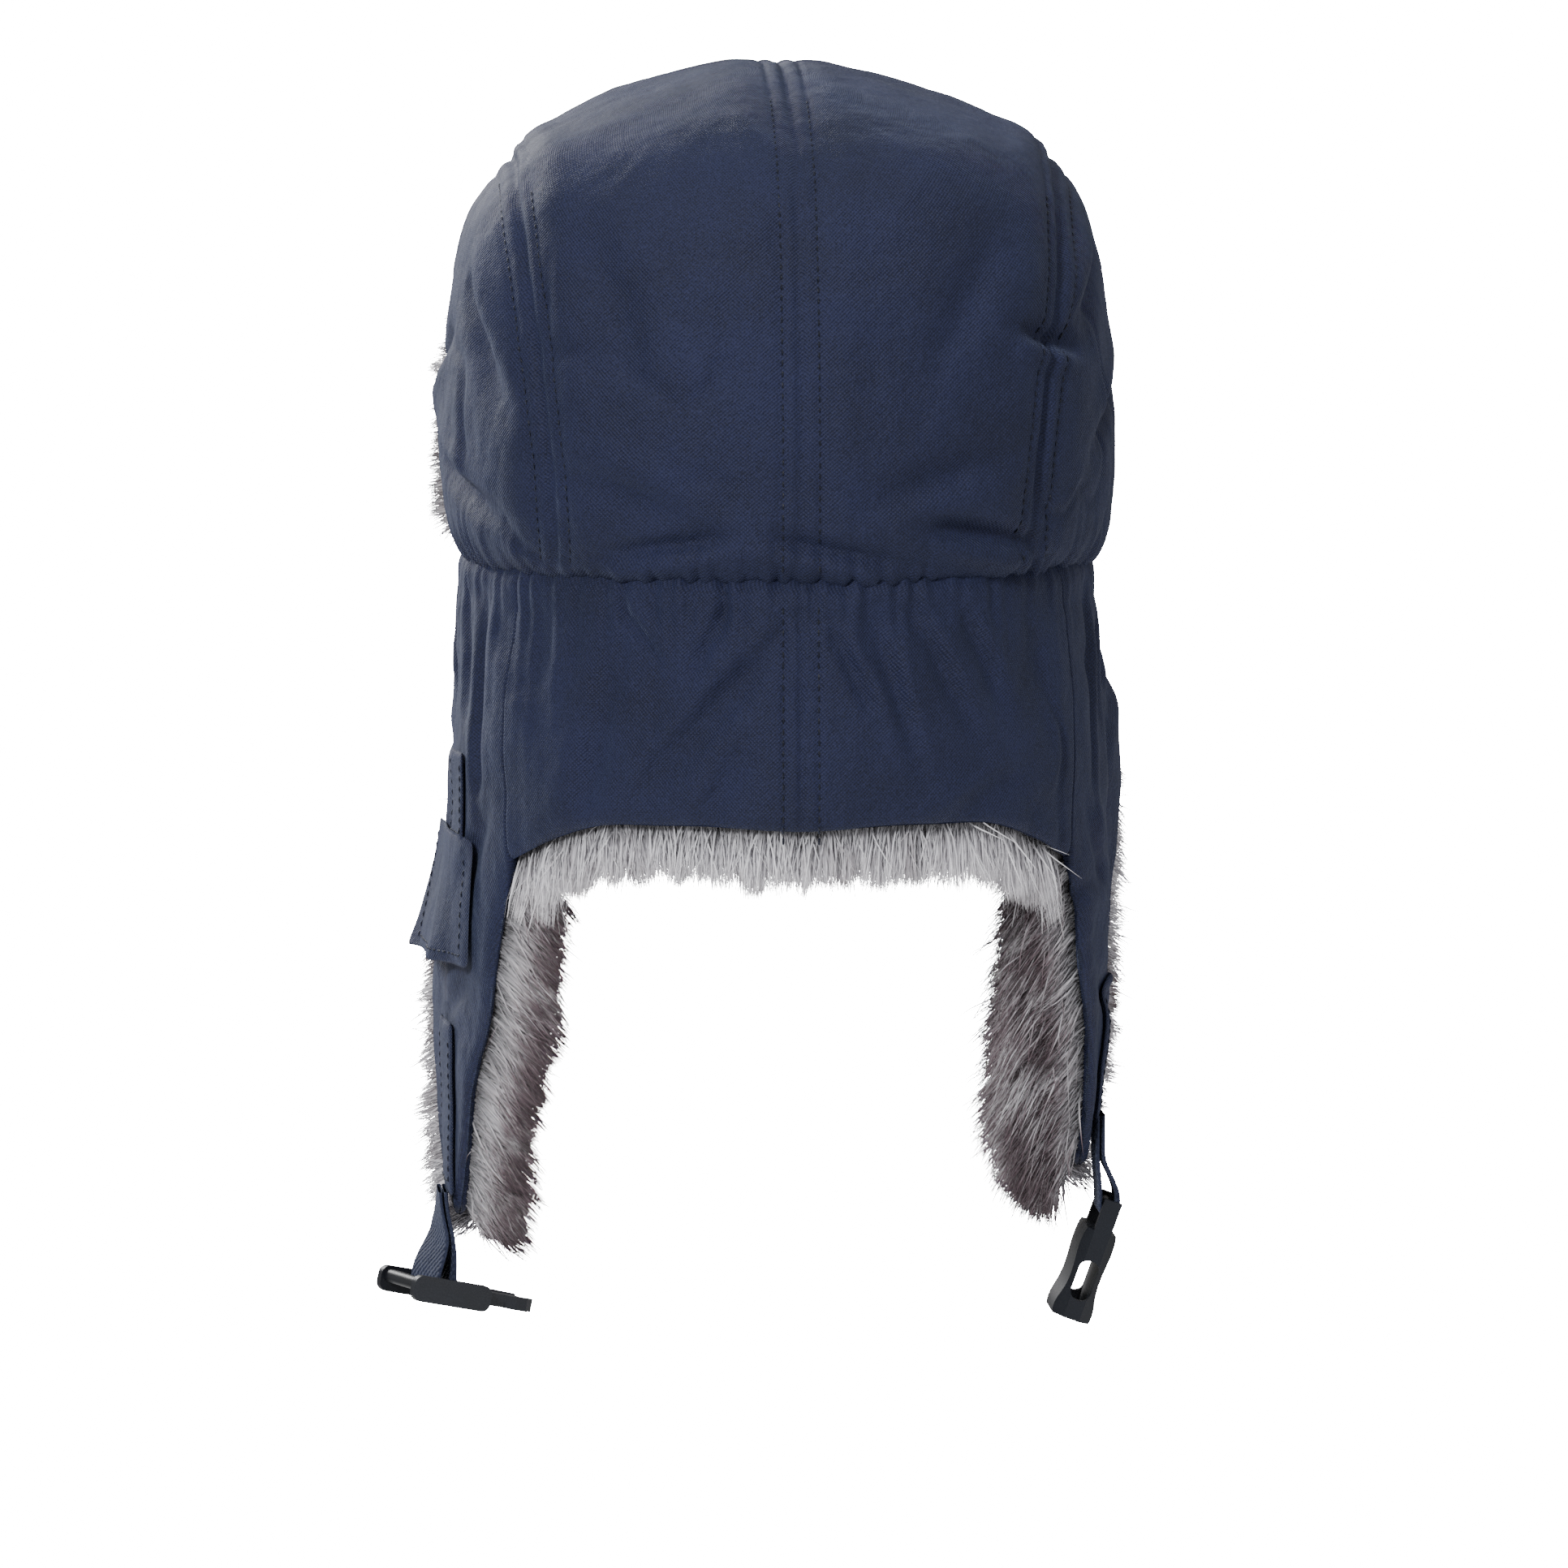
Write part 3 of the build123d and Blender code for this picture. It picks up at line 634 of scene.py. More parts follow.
def skirt_half_w(on_left, drop):
    """Half width of the flaps at a depth, which differs from side to side."""
    return np.where(on_left, through(drop, LEFT_ROWS), through(drop, RIGHT_ROWS))


def skirt_place(turn, drop, inset=0.0):
    """Points of the smooth flap surface at a polar angle and a depth below the seam."""
    on_left = np.cos(turn) >= 0.0
    half_w = skirt_half_w(on_left, drop) - inset
    half_d = through(drop, LEFT_ROWS, 2) - inset
    x, y = ring_point(turn, half_w, half_d, FLAP_POWER)
    forward = np.where(on_left, smooth(-y, 4.0, 42.0), smooth(-y, 10.0, 54.0))
    below = np.where(on_left, smooth(drop, 34.0, 120.0), smooth(drop, 0.0, 54.0))
    flare = np.where(on_left, LEFT_FLARE, -RIGHT_FLARE) * forward * below
    return stack(x + flare, y, -drop)


def skirt_relief(p):
    """Gathers below the head seam, long soft creases and small dents."""
    x, y, z = np.moveaxis(p, -1, 0)
    turn = np.arctan2(y / CROWN_D, x / CROWN_W)
    strength = 0.6 + 0.5 * ring_noise(turn * 30.0, 7.0, 21)
    reach = 13.0 + 9.0 * ring_noise(turn * 40.0, 6.0, 22)
    gather = np.sin(turn * 71.0 + 3.0 * ring_noise(turn * 50.0, 9.0, 23))
    gather += 0.6 * np.sin(turn * 119.0 + 2.0)
    out = 0.95 * gather * strength * np.exp(z / np.maximum(reach, 4.0))
    back = smooth(y, 30.0, 62.0)
    for a, b, width, depth in FLAP_FOLDS:
        out += back * fold(x, z, a, b, width, depth)
    side = 1.0 - smooth(y, 52.0, 70.0)
    for a, b, width, depth in EAR_FOLDS:
        out += side * fold(y, z, a, b, width, depth)
    out -= back * 0.9 * bump(x, 0.0, 1.0)
    out -= back * 0.45 * bump(np.abs(x), 5.0, 0.9)
    out += back * 0.4 * bump(np.abs(x), 11.0, 5.0)
    out += 1.4 * noise(p, 34.0, 25) * smooth(-z, 8.0, 26.0)
    out += 0.65 * noise(p, 13.0, 26)
    out += 0.24 * noise(p, 5.5, 27)
    out += 1.15 * creases(p, 34)
    return np.where(out < 0.0, 3.0 * np.tanh(out / 3.0), out)


def outward(p):
    """The direction away from the head at a point of the flaps."""
    x = p[..., 0] / CROWN_W ** 2
    y = p[..., 1] / CROWN_D ** 2
    return unit(stack(x, y, np.zeros(x.shape)))


def edge_taper(rows, cols, first_free=1.0, last_free=1.0):
    """0 at a flap's free edges and 1 inside, by grid place: how thick the pad is there.

    first_free and last_free say, 0 to 1, how far the first and last columns are free edges.
    """
    t, s = shares(rows, cols)
    first = s * cols + 10.0 * (1.0 - first_free)
    last = (1.0 - s) * cols + 10.0 * (1.0 - last_free)
    side = np.minimum(first, last)
    bottom = (1.0 - t) * rows
    near = np.minimum(np.minimum(side, bottom), 10.0) / 10.0
    return np.sqrt(np.clip(1.0 - (1.0 - near) ** 2, 0.0, 1.0))


def flap_pad(name, turn, drop, nodes, first_free=1.0, last_free=1.0):
    """A padded flap over a grid of polar angles and depths, with rolled free edges."""
    rows, cols = drop.shape
    smooth_outer = skirt_place(turn, drop)
    away = outward(smooth_outer)
    round_off = edge_taper(rows, cols, first_free, last_free)[..., None]
    relief = skirt_relief(smooth_outer)[..., None]
    half = 0.5 * CLOTH_T
    middle_line = smooth_outer - away * half
    outer = middle_line + away * (half * round_off + relief)
    inner = middle_line - away * (half * round_off - 0.6 * relief)
    step = np.diff(smooth_outer, axis=1, prepend=smooth_outer[:, :1])
    along = np.cumsum(np.linalg.norm(step, axis=-1), axis=1)
    pad = padded_sheet(name, outer, inner, stack(along, -drop))
    settle(pad, navy, nodes=nodes)
    return pad, outer


def polar_of_y(y, drop, side):
    """The polar angle of the flap surface at depth drop where its y is given, on one side."""
    half_w = skirt_half_w(side > 0.0, drop)
    half_d = through(drop, LEFT_ROWS, 2)
    share = np.clip(np.abs(y) / half_d, 0.0, 0.9999)
    x = half_w * (1.0 - share ** FLAP_POWER) ** (1.0 / FLAP_POWER)
    return np.arctan2(y, side * x)


def ear_grid(side, length):
    """Polar angles and depths over one ear flap."""
    t, s = shares(*EAR_GRID)
    share = 0.35 * np.sin(0.5 * math.pi * t) + 0.65 * t
    front = through(share, EAR_FRONT) * CROWN_D
    rear = np.minimum(through(share, EAR_BACK) * CROWN_D, SPLIT_Y - 0.2)
    drop = -1.0 + share * (length + 1.0) + 0.0 * s
    y = front + (rear - front) * s
    return polar_of_y(y, np.maximum(drop, 0.0), side), drop


def neck_low(x):
    """Depth of the neck flap's arched edge below the seam."""
    return NECK_LEN * through(np.abs(x) / CROWN_W, NECK_EDGE, 1)


def neck_grid():
    """Polar angles and depths over the neck flap."""
    t, s = shares(*NECK_GRID)
    y_edge = np.array([SPLIT_Y + 0.2])
    start = float(polar_of_y(y_edge, np.array([40.0]), 1.0)[0])
    turn = start + (math.pi - 2.0 * start) * s + 0.0 * t
    x = skirt_place(turn, 60.0 + 0.0 * turn)[..., 0]
    drop = -1.0 + t * (neck_low(x) + 1.0)
    fixed = skirt_place(turn, np.maximum(drop, 0.0))
    limit = fixed[..., 1]
    need = polar_of_y(np.full(limit.shape, SPLIT_Y + 0.2), np.maximum(drop, 0.0), np.sign(fixed[..., 0]))
    turn = np.where(limit < SPLIT_Y + 0.2, need, turn)
    return turn, drop


neck_turn, neck_drop = neck_grid()
neck, neck_outer = flap_pad(
    "NeckFlap", neck_turn, neck_drop,
    ["neck_shell_left", "neck_shell_right", "neck_wadding"], 0.0, 0.0,
)
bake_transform(neck)
left_turn, left_drop = ear_grid(1.0, EAR_LEN)
left_ear, left_outer = flap_pad(
    "LeftEarFlap", left_turn, left_drop, ["left_ear_shell", "left_ear_wadding"],
    1.0, smooth(left_drop[:, -1:], 74.0, 92.0),
)
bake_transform(left_ear)
right_turn, right_drop = ear_grid(-1.0, RIGHT_EAR_LEN)
right_ear, right_outer = flap_pad(
    "RightEarFlap", right_turn, right_drop, ["right_ear_shell", "right_ear_wadding"],
    1.0, smooth(right_drop[:, -1:], 74.0, 92.0),
)
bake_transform(right_ear)


# ---- fur ----
def strands(
    name, body, roots, normals, combs, lengths, seed,
    lift=1.0, lean=0.45, droop=0.14, clump=0.58, tuft=5.8, tint=0.0,
):
    """Tapered bent blades that stand by lift and lie over by lean, drawn into tufts at their tips."""
    rng = np.random.default_rng(seed)
    count = len(roots)
    steps = np.array([0.0, 0.28, 0.55, 0.8, 1.0])
    stray = rng.normal(0.0, 1.0, (count, 3))
    lie = unit(combs + 0.36 * stray)
    rise = unit(normals + 0.24 * rng.normal(0.0, 1.0, (count, 3)))
    length = lengths * rng.uniform(0.72, 1.12, count)
    bend = rng.normal(0.0, 1.0, (count, 3))
    down = np.array([0.0, 0.0, -1.0])
    path = np.zeros((count, len(steps), 3))
    for k, t in enumerate(steps):
        up = lift * (t - 0.22 * t * t)
        over = lean * (0.33 * t + 0.67 * t * t)
        path[:, k] = roots + length[:, None] * (up * rise + over * lie + droop * t * t * down)
        path[:, k] += length[:, None] * 0.09 * t * t * bend
    cells = np.floor(roots / tuft + 0.37 * noise(roots, tuft * 1.7, seed)[:, None]).astype(np.int64)
    key = cells[:, 0] * 1000003 + cells[:, 1] * 1009 + cells[:, 2]
    names, group = np.unique(key, return_inverse=True)
    group = group.reshape(-1)
    size = np.bincount(group).astype(float)
    centre = np.zeros((len(names), len(steps), 3))
    for k in range(len(steps)):
        for axis in range(3):
            centre[:, k, axis] = np.bincount(group, weights=path[:, k, axis]) / size
    spot = rng.normal(0.0, 1.0, (len(names), 3))
    centre += 0.09 * float(np.mean(lengths)) * spot[:, None, :] * (steps ** 2)[None, :, None]
    stretch = rng.uniform(0.86, 1.14, len(names))
    free = (rng.uniform(0.0, 1.0, count) < 0.10)
    pull = np.where(free, 0.10, clump)[:, None, None] * (steps ** 1.4)[None, :, None]
    path = path + (centre[group] - path) * pull
    path = roots[:, None, :] + (path - roots[:, None, :]) * stretch[group][:, None, None]
    tangent = unit(np.gradient(path, axis=1))
    across = unit(np.cross(tangent, unit(rng.normal(0.0, 1.0, (count, 3)))[:, None, :]))
    taper = np.array([0.80, 1.0, 0.82, 0.5, 0.08])
    wide = rng.uniform(0.30, 0.62, count)
    half = 0.5 * wide[:, None, None] * taper[None, :, None] * across
    verts = np.stack([path - half, path + half], axis=2).reshape(-1, 3)
    base_index = (np.arange(count) * len(steps) * 2)[:, None]
    k = np.arange(len(steps) - 1)[None, :] * 2
    first = base_index + k
    faces = np.stack([first, first + 1, first + 3, first + 2], axis=-1).reshape(-1, 4)
    along = np.repeat(np.tile(steps, count), 2)
    shade = tint + rng.uniform(-0.19, 0.19, len(names))[group] + rng.uniform(-0.09, 0.09, count)
    tone = np.repeat(shade, len(steps) * 2)
    piece = new_object(name, verts, faces, values={"along": along, "tone": tone})
    settle(piece, fur_strand, body)


def pile(name, body, roots, normals, combs, lengths, seed, **look):
    """Strands in two pieces, every other one in each, so that neither is too heavy."""
    for start, word in ((0, "PileA"), (1, "PileB")):
        pick = slice(start, None, 2)
        chosen = [part[pick] for part in (roots, normals, combs, lengths)]
        strands(name + word, body, *chosen, seed + start, **look)


PELT_T = 5.5


def fur_pad(name, outer, inner, uv, body, node):
    """A closed pad of under-fur."""
    count = 2 * outer.shape[0] * outer.shape[1]
    values = {"along": np.full(count, 0.10), "tone": np.zeros(count)}
    pad = padded_sheet(name, outer, inner, uv, values)
    settle(pad, fur_base, body, [node])


def pelt(name, outer_side, body, node):
    """The dense short under-fur that the long pile grows from, as a lumpy pad."""
    away = outward(outer_side)
    round_off = edge_taper(*outer_side.shape[:2])[..., None]
    lumps = (0.9 * noise(outer_side, 7.0, 31) + 0.5 * noise(outer_side, 3.0, 32))[..., None]
    outer = outer_side - away * (0.5 * PELT_T * (1.0 - round_off))
    inner = outer_side - away * (PELT_T * (0.5 + 0.5 * round_off) + lumps * round_off)
    fur_pad(name, outer, inner, outer_side[..., 1:], body, node)


def sample_grid(points, count, rng):
    """Random places over a grid of points, with the grid coordinates of each."""
    rows, cols = points.shape[:2]
    t = rng.uniform(0.0, 1.0, count)
    s = rng.uniform(0.0, 1.0, count)
    r = t * (rows - 1.001)
    c = s * (cols - 1.001)
    i = r.astype(int)
    j = c.astype(int)
    fr = (r - i)[:, None]
    fc = (c - j)[:, None]
    low = points[i, j] * (1 - fc) + points[i, j + 1] * fc
    high = points[i + 1, j] * (1 - fc) + points[i + 1, j + 1] * fc
    return low * (1 - fr) + high * fr, s, t


def flap_fur(name, turn, drop, body, node, side, seed, count, tint, sizes):
    """Pelt and long pile on the inside of one flap, spilling over its free edges."""
    rng = np.random.default_rng(seed)
    inner_face = skirt_place(turn, np.maximum(drop, 2.0), CLOTH_T + 0.1)
    pelt(name + "Pelt", inner_face, body, node)
    roots, s, t = sample_grid(skirt_place(turn, np.maximum(drop, 3.0), CLOTH_T + PELT_T - 1.2), count, rng)
    toward = -outward(roots)
    if side == 0.0:
        spread = np.zeros(count)
    else:
        spread = 1.1 * (smooth(s, 0.60, 1.0) - smooth(1.0 - s, 0.60, 1.0))
    edge = smooth(t, 0.80, 1.0)
    comb = stack(0.0 * s, spread, -1.0 + 0.2 * edge)
    push = 1.0 - 0.55 * np.maximum(edge, np.abs(spread) * 0.6)
    normals = toward * push[:, None] + unit(comb) * (1.0 - push)[:, None]
    length = sizes[0] + (sizes[1] - sizes[0]) * smooth(-roots[:, 2], 60.0, 130.0)
    length = length * (1.0 - 0.45 * edge) * rng.uniform(0.85, 1.0, count)
    shy = smooth(-roots[:, 2], 2.0, 16.0)
    length = length * (0.55 + 0.45 * shy)
    pile(name, body, roots, normals, comb, length, seed + 1, tint=tint)


flap_fur("NeckFur", neck_turn, neck_drop, "neck_flap", "neck_fur", 0.0, 101, 28000, -0.26, (19.0, 19.0))
flap_fur(
    "LeftEarFur", left_turn, left_drop, "left_ear_flap", "left_ear_fur", 1.0, 103, 38000, 0.50, (17.0, 15.5),
)
flap_fur(
    "RightEarFur", right_turn, right_drop, "right_ear_flap", "right_ear_fur", -1.0, 105, 38000, 0.24,
    (23.0, 33.0),
)


def edge_fringe(name, line, inward_side, comb, body, seed, count, length, tint=0.0, jitter=0.12):
    """Pile that spills over a free edge: roots along a line of points, just inside the edge."""
    rng = np.random.default_rng(seed)
    place = rng.uniform(0.0, len(line) - 1.001, count)
    i = place.astype(int)
    f = (place - i)[:, None]
    roots = line[i] * (1 - f) + line[i + 1] * f
    inside = inward_side[i] * (1 - f) + inward_side[i + 1] * f
    lie = comb[i] * (1 - f) + comb[i + 1] * f
    lie = unit(lie + jitter * rng.normal(0.0, 1.0, (count, 3)))
    depth = rng.uniform(0.2, 1.0, count)[:, None]
    roots = roots + inside * depth * 9.0 - lie * rng.uniform(0.0, 2.5, count)[:, None]
    normals = unit(0.45 * inside + 0.9 * lie)
    size = np.full(count, length)
    strands(
        name, body, roots, normals, lie, size, seed + 1,
        lift=0.42, lean=0.85, droop=0.22, clump=0.70, tuft=5.0, tint=tint,
    )


down = np.array([0.0, 0.0, -1.0])
line = neck_outer[-1]
pull_x = 0.20 * np.sign(line[:, 0]) * smooth(np.abs(line[:, 0]), 30.0, 80.0)
side_pull = stack(pull_x, 0.0 * pull_x, 0.0 * pull_x)
edge_fringe("NeckFringe", line, -outward(line), unit(down + side_pull), "neck_flap", 201, 12000, 16.0, -0.26)
for name, outer, body, seed in (
    ("LeftEar", left_outer, "left_ear_flap", 211),
    ("RightEar", right_outer, "right_ear_flap", 221),
):
    line = outer[:, -1]
    line = line[line[:, 2] < -86.0]
    comb = unit(np.array([0.0, 0.55, -0.55]) - 0.8 * outward(line))
    edge_fringe(name + "BackFringe", line, -outward(line), comb, body, seed, 10000, 17.0, 0.26)
    line = outer[:, 0]
    line = line[line[:, 2] < -12.0]
    comb = unit(np.array([0.0, -0.35, -0.30]) + 1.1 * outward(line))
    edge_fringe(
        name + "FrontFringe", line, -outward(line), comb, body, seed + 2, 14000, 14.0, -0.12, 0.36,
    )


# ---- turned-up front flap ----
def front_place(turn, height, outset=0.0):
    """Points of the front flap's inner face moved out by outset."""
    half_w, half_d, power = columns(height, FRONT_ROWS, 1, 2, 3)
    x, y = ring_point(turn, half_w + outset, half_d + outset, power)
    return stack(x, y, height)


def front_grid(rows, cols):
    """Polar angles and heights over the front flap, with rounded upper corners."""
    t, s = shares(rows, cols, -1.0)
    top = FRONT_H - 1.0
    height = 2.0 + t * (top - 2.0) - 15.0 * smooth(np.abs(s), 0.55, 1.0) * t
    round_side = 1.0 - 0.10 * smooth(t, 0.55, 1.0) ** 1.5
    half_turn = 0.80 * round_side
    turn = -0.5 * math.pi + s * half_turn
    return turn + 0.0 * height, height + 0.0 * turn


front_turn, front_height = front_grid(*FRONT_GRID)
front_inner = front_place(front_turn, front_height)
front_away = outward(front_inner)
taper = edge_taper(*FRONT_GRID)[..., None]
dents = (0.8 * noise(front_inner, 26.0, 41) + 0.3 * noise(front_inner, 9.0, 42))[..., None]
front_mid = front_inner + front_away * 2.2
front_out = front_mid + front_away * (1.7 * taper + 0.4 * dents)
front_in = front_mid - front_away * (1.7 * taper - 0.4 * np.minimum(dents, 0.6))
front_uv = front_inner[..., ::2]
front = padded_sheet("FrontFlap", front_in, front_out, front_uv)
settle(front, navy, nodes=["front_flap_shell", "front_flap_wadding"])
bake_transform(front)

rng_front = np.random.default_rng(301)
pelt_in = front_place(front_turn, front_height, 3.6)
pelt_out = front_place(front_turn, front_height, 8.0)
lumps = (0.9 * noise(pelt_out, 7.0, 43))[..., None]
pelt_middle = 0.5 * (pelt_in + pelt_out)
pelt_in = pelt_middle + (pelt_in - pelt_middle) * taper
pelt_out = pelt_middle + (pelt_out + front_away * lumps - pelt_middle) * taper
fur_pad("FrontPelt", pelt_in, pelt_out, front_uv, "front_flap", "front_flap_fur")
roots, s, t = sample_grid(front_place(front_turn, front_height, 7.0), 30000, rng_front)
away = outward(roots)
ends = smooth(np.abs(2.0 * s - 1.0), 0.80, 1.0) * np.sign(2.0 * s - 1.0)
top_edge = smooth(t, 0.82, 1.0)
comb = stack(0.9 * ends, 0.0 * s, -0.75 + 1.5 * top_edge)
length = 17.0 * (0.85 + 0.15 * top_edge)
pile("Front", "front_flap", roots, away, comb, length, 302, lift=0.85, lean=0.55)
line = front_out[-1]
comb = unit(np.array([0.0, -0.25, 1.0]) + 0.0 * line)
edge_fringe("FrontTopFringe", line, front_away[-1], comb, "front_flap", 311, 4200, 11.0)
for which, name, size in ((0, "FrontEndFringeRight", 9.0), (-1, "FrontEndFringeLeft", 11.5)):
    line = front_out[:, which]
    push = unit(stack(np.sign(line[:, 0]), 0.75 + 0.0 * line[:, 0], 0.25 + 0.0 * line[:, 0]))
    edge_fringe(name, line, front_away[:, which], push, "front_flap", 321 + which, 2600, size)


# ---- inside of the crown ----
def ridge(p, period):
    """Sewn quilting: a diamond grid of stitched channels between soft pads."""
    turn = np.arctan2(p[..., 1] / CROWN_D, p[..., 0] / CROWN_W)
    along = turn * 100.0
    height = p[..., 2] + 0.25 * (CROWN_D - np.hypot(p[..., 0], p[..., 1]))
    a = np.abs(np.sin(math.pi * (along + height) / period))
    b = np.abs(np.sin(math.pi * (along - height) / period))
    return np.minimum(a, b) ** 0.6


LINING_INSET = 8.9
QUILT_PITCH = 34.9
QUILT_HEIGHT = 1.6
inner = crown_grid(LINING_INSET, *QUILT_GRID)[0]
pull = -unit(inner - np.array([0.0, 0.0, 20.0]))
quilt = inner + pull * (QUILT_HEIGHT * ridge(inner, QUILT_PITCH))[..., None]
quilt[-1] = quilt[-2].mean(axis=0)
# The rows tucked under the hem are left off.
quilt = quilt[3:]
lining_faces = grid_faces(*quilt.shape[:2], True)[:, ::-1]
lined = new_object("DomeLining", quilt, lining_faces, quilt[..., ::2])
settle(lined, lining, "crown", ["crown_lining"])


def ring_band(name, profile, half_w, half_d, power, cols, ripple, node):
    """A closed band round the head opening from a profile of (inset, height) points."""
    turn = np.linspace(0.0, 2.0 * math.pi, cols, endpoint=False)[None, :]
    rows = []
    for inset, height in profile:
        x, y = ring_point(turn, half_w - inset, half_d - inset, power)
        rows.append(stack(x, y, height + 0.0 * x)[0])
    p = np.array(rows + [rows[0]])
    away = outward(p)
    p = p + away * (ripple * np.sin(turn[0] * 89.0) * 0.6 + ripple * noise(p, 9.0, 51))[..., None]
    p[-1] = p[0]
    uv = stack(np.broadcast_to(turn * 100.0, p.shape[:2]), np.cumsum(np.full(p.shape[:2], 2.0), axis=0))
    band = new_object(name, p, grid_faces(len(p), cols, True), uv)
    settle(band, navy_edge, "crown", [node])


sweat_profile = [
    (10.0, 0.0), (11.2, -0.6), (12.2, 1.0), (12.6, 6.0), (12.7, 14.0), (12.6, 24.0), (12.0, 32.0),
    (11.0, 35.2), (10.2, 34.6), (10.0, 28.0), (10.0, 10.0),
]
ring_band("SweatBand", sweat_profile, 94.0, 112.0, 2.2, 360, 0.25, "sweatband")
channel_profile = [
    (2.2, 0.5), (1.6, -1.5), (2.0, -4.4), (3.6, -5.8), (7.0, -6.0), (10.2, -5.6), (11.4, -3.5), (11.2, 0.0),
    (7.0, 0.8),
]
ring_band("SeamChannel", channel_profile, 91.2, 110.0, 2.1, 720, 0.45, "seam_channel")


# ---- curved patches on the cloth: vent cover, tab, casings, hook tapes, label ----
def patch_grid(u_range, v_range, rows, cols, corner):
    """Flat coordinates of a rounded patch, rows by columns."""
    u0, u1 = u_range
    v0, v1 = v_range
    t, s = shares(rows, cols, -1.0)
    v = v0 + (v1 - v0) * t
    from_end = np.minimum(np.abs(v - v0), np.abs(v1 - v))
    cut = corner - np.sqrt(np.clip(corner ** 2 - np.clip(corner - from_end, 0.0, None) ** 2, 0.0, None))
    u = 0.5 * (u0 + u1) + s * (0.5 * (u1 - u0) - cut)
    return u, v + 0.0 * u


def side_patch(name, side, y_range, drop_range, lift, thick, corner, material, body, node, bulge=0.0):
    """A rounded patch lying on an ear flap, lift above its surface; gives its outer face."""
    rows, cols = PATCH_GRID
    y, drop = patch_grid(y_range, drop_range, rows, cols, corner)
    turn = polar_of_y(y, drop, side)
    under = skirt_place(turn, drop)
    away = outward(under)
    round_off = edge_taper(rows, cols)
    t, s = shares(rows, cols, -1.0)
    top = np.minimum(1.0, t * rows / 5.0)
    round_off = np.minimum(round_off, np.sqrt(1.0 - (1.0 - top) ** 2))[..., None]
    waves = 0.16 * np.sin(5.0 * s + 0.8) + 0.10 * np.sin(9.0 * s - 0.4)
    hump = (bulge * t ** 1.7 * (0.72 - 0.45 * s - 0.15 * s ** 2 + waves))[..., None]
    follow = (np.clip(1.0 - 0.1 * bulge, 0.0, 1.0) * skirt_relief(under))[..., None]
    middle_line = under + away * (lift + 0.5 * thick + hump + follow)
    outer = middle_line + away * 0.5 * thick * round_off
    inner = middle_line - away * 0.5 * thick * round_off
    patch = padded_sheet(name, outer, inner, stack(y, -drop))
    settle(patch, material, body, [node])
    return outer


cover_drop = (0.410 * EAR_LEN, 0.605 * EAR_LEN)
cover_top, cover_low = cover_drop
cover_outer = side_patch(
    "VentCover", 1.0, (-26.0, 42.0), cover_drop, 0.5, 1.4, 3.0, navy,
    "vent_cover", "vent_cover", bulge=6.5,
)
tab_outer = side_patch(
    "VentTab", 1.0, (18.0, 36.0), (cover_top - 24.0, cover_top + 1.5), 0.3, 1.6, 1.6, navy_edge,
    "left_ear_flap", "vent_tab",
)
side_patch(
    "VentMesh", 1.0, (0.0, 22.0), (cover_top + 8.0, cover_top + 24.0), 0.5, 0.9, 7.5, patch_cloth,
    "left_ear_flap", "vent_mesh",
)
side_patch(
    "VentHookTape", 1.0, (-8.0, 30.0), (cover_low - 12.0, cover_low - 4.0), 0.4, 0.9, 1.5, patch_cloth,
    "left_ear_flap", "vent_hook_patch",
)
left_casing_drop = (0.700 * EAR_LEN, 0.962 * EAR_LEN)
right_casing_drop = (0.680 * RIGHT_EAR_LEN, 0.915 * RIGHT_EAR_LEN)
casing_y = (STRAP_Y - 13.0, STRAP_Y + 13.0)
left_case_outer, right_case_outer = [
    side_patch(name, side, casing_y, drop, 0.1, 2.0, 1.6, navy_edge, body, node)
    for name, side, drop, body, node in (
        ("LeftStrapCasing", 1.0, left_casing_drop, "left_ear_flap", "left_strap_casing"),
        ("RightStrapCasing", -1.0, right_casing_drop, "right_ear_flap", "right_strap_casing"),
    )
]


def thin_box_patch(name, place, u_range, v_range, thick, material, body, node):
    """A rounded patch over a surface given by a place function of (u, v, outset)."""
    u, v = patch_grid(u_range, v_range, 24, 40, 3.0)
    low = place(u, v, 0.05)
    high = place(u, v, thick)
    taper_here = edge_taper(24, 40)[..., None]
    mid = 0.5 * (low + high)
    patch = padded_sheet(name, mid + (high - mid) * taper_here, mid + (low - mid) * taper_here, stack(u, v))
    settle(patch, material, body, [node])


def depth_at(table, x, z):
    """Half depth of a tabled shape at a width and height, then its own half width and half depth there."""
    half_w, half_d, power = columns(z, table, 1, 2, 3)
    share = np.clip(np.abs(x) / half_w, 0.0, 0.999)
    return half_d * (1.0 - share ** power) ** (1.0 / power), half_w, half_d


def crown_front(x, z, outset):
    """A point of the crown's front at a width and height."""
    return stack(x, -depth_at(CROWN_ROWS[:9], x, z)[0] - outset, z)


def front_inside(x, z, outset):
    """A point of the front flap's cloth face at a width and height."""
    return stack(x, outset - depth_at(FRONT_ROWS, x, z)[0], z)


def lining_back(x, z, outset):
    """A point of the lining's back at a width and height."""
    power = 2.4
    y = (CROWN_D - 12.6) * (1.0 - (np.abs(x) / 86.0) ** power) ** (1.0 / power)
    y = y * through(z, CROWN_ROWS, 2) / 114.5
    return stack(x, y - outset, z)


